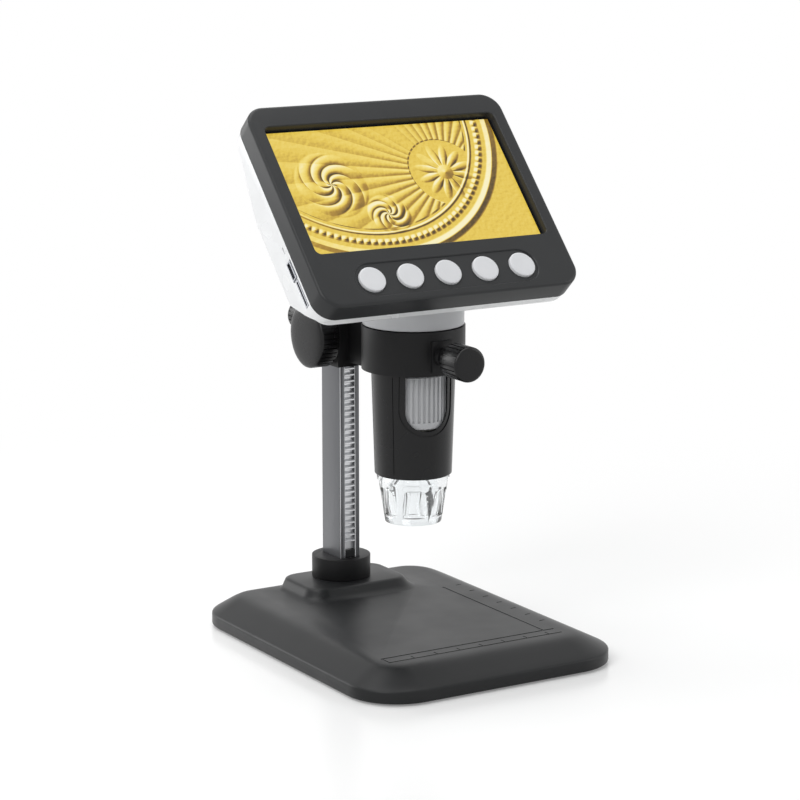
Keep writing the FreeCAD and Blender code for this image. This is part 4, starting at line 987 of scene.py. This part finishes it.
class MICROSCOPE_OT_stage(bpy.types.Operator):
    """Plain pale floor, soft studio lamps and the camera"""
    bl_idname = "microscope.stage"
    bl_label = "Stage"

    def floor(self):
        """A pale floor that keeps the shadow near the object and fades to white around it."""
        start_clean()
        bpy.ops.mesh.primitive_plane_add(size=6, location=(0, 0, 0))
        floor = named("floor")
        material, tree, out, where = new_material("Glossy white sweep")
        surface = add(tree, "ShaderNodeBsdfPrincipled", in_Base_Color=linear("#F2F2F1"),
                      in_Roughness=0.22, in_Specular_IOR_Level=0.3)
        lift = add(tree, "ShaderNodeEmission", in_Color=(1, 1, 1, 1), in_Strength=0.22)
        lifted = add(tree, "ShaderNodeAddShader", {0: surface.outputs["BSDF"],
                                                   1: lift.outputs["Emission"]})
        far = add(tree, "ShaderNodeVectorMath", {0: where}, operation="LENGTH")
        fade = add(tree, "ShaderNodeMapRange", {"Value": far.outputs["Value"]}, in_1=0.10, in_2=0.42)
        fade.interpolation_type = "SMOOTHSTEP"
        white = add(tree, "ShaderNodeEmission", in_Color=(1, 1, 1, 1), in_Strength=1.0)
        sweep = add(tree, "ShaderNodeMixShader", {0: fade.outputs["Result"],
                                                  1: lifted.outputs["Shader"],
                                                  2: white.outputs["Emission"]})
        mix = add(tree, "ShaderNodeMixShader", {0: seen_ray(tree), 1: surface.outputs["BSDF"],
                                                2: sweep.outputs["Shader"]})
        tree.links.new(mix.outputs["Shader"], out.inputs["Surface"])
        floor.data.materials.append(material)

    def studio(self, scene):
        """Soft light from all around, behind which the camera sees plain white."""
        world = bpy.data.worlds.new("studio")
        scene.world = world
        world.use_nodes = True
        tree = world.node_tree
        tree.nodes.clear()
        dim = add(tree, "ShaderNodeBackground", in_Color=(0.95, 0.97, 1.0, 1), in_Strength=0.2)
        bright = add(tree, "ShaderNodeBackground", in_Color=(1, 1, 1, 1), in_Strength=1.0)
        choose = add(tree, "ShaderNodeMixShader", {0: seen_ray(tree), 1: dim.outputs["Background"],
                                                   2: bright.outputs["Background"]})
        ground = add(tree, "ShaderNodeOutputWorld")
        tree.links.new(choose.outputs["Shader"], ground.inputs["Surface"])

    def lamps(self):
        """Four soft boxes, each with its place, width and height in metres, and its power."""
        boxes = (("key", (-0.75, -0.35, 0.75), 0.6, 0.7, 4.6),
                 ("fill", (0.9, -0.6, 0.45), 0.5, 0.8, 2.2),
                 ("top", (0.0, 0.25, 1.1), 0.9, 0.7, 5.4),
                 ("rear", (-0.5, 0.8, 0.35), 0.6, 0.5, 2.4))
        target = Vector((0, 0, 0.1))
        for name, spot, wide, tall, power in boxes:
            start_clean()
            bpy.ops.object.light_add(type="AREA", location=spot)
            lamp = bpy.context.object
            lamp.name = name
            lamp.data.shape = "RECTANGLE"
            lamp.data.size = wide
            lamp.data.size_y = tall
            lamp.data.energy = power
            lamp.rotation_euler = (target - Vector(spot)).to_track_quat("-Z", "Y").to_euler()

    def camera(self, scene):
        """The photo's camera. Its focal length was fitted in pixels of the 800 pixel picture."""
        photo_width = 800
        focal_pixels = 2855.31
        sensor = 36.0
        start_clean()
        bpy.ops.object.camera_add(location=(-0.5604, -0.9151, 0.3215),
                                  rotation=(math.radians(78.16), 0, math.radians(-31.36)))
        camera = bpy.context.object
        camera.name = "photo_camera"
        camera.data.sensor_width = sensor
        camera.data.lens = focal_pixels / photo_width * sensor
        camera.data.clip_start = 0.01
        scene.camera = camera

    def execute(self, context):
        self.floor()
        self.studio(context.scene)
        self.lamps()
        self.camera(context.scene)
        context.scene.view_settings.view_transform = "Standard"
        return {"FINISHED"}


class MICROSCOPE_PT_panel(bpy.types.Panel):
    """Sizes, colours and one button for each group of pieces"""
    bl_idname = "MICROSCOPE_PT_panel"
    bl_label = "Screen microscope"
    bl_space_type = "VIEW_3D"
    bl_region_type = "UI"
    bl_category = "Microscope"

    def draw(self, context):
        layout = self.layout
        for group in (context.scene.microscope_sizes, context.scene.microscope_look):
            for key in group.__annotations__:
                layout.prop(group, key)
        for operator in OPERATORS:
            layout.operator(operator.bl_idname)


OPERATORS = (MICROSCOPE_OT_finishes, MICROSCOPE_OT_base, MICROSCOPE_OT_knobs,
             MICROSCOPE_OT_thumb_screws, MICROSCOPE_OT_castings, MICROSCOPE_OT_head,
             MICROSCOPE_OT_buttons, MICROSCOPE_OT_barrel, MICROSCOPE_OT_stage)
CLASSES = (MicroscopeSizes, MicroscopeLook) + OPERATORS + (MICROSCOPE_PT_panel,)


def register():
    for item in CLASSES:
        bpy.utils.register_class(item)
    bpy.types.Scene.microscope_sizes = PointerProperty(type=MicroscopeSizes)
    bpy.types.Scene.microscope_look = PointerProperty(type=MicroscopeLook)


def unregister():
    del bpy.types.Scene.microscope_sizes
    del bpy.types.Scene.microscope_look
    for item in reversed(CLASSES):
        bpy.utils.unregister_class(item)


def main():
    register()
    for operator in OPERATORS:
        group, name = operator.bl_idname.split(".")
        getattr(getattr(bpy.ops, group), name)()
    start_clean()


if __name__ == "__main__":
    main()
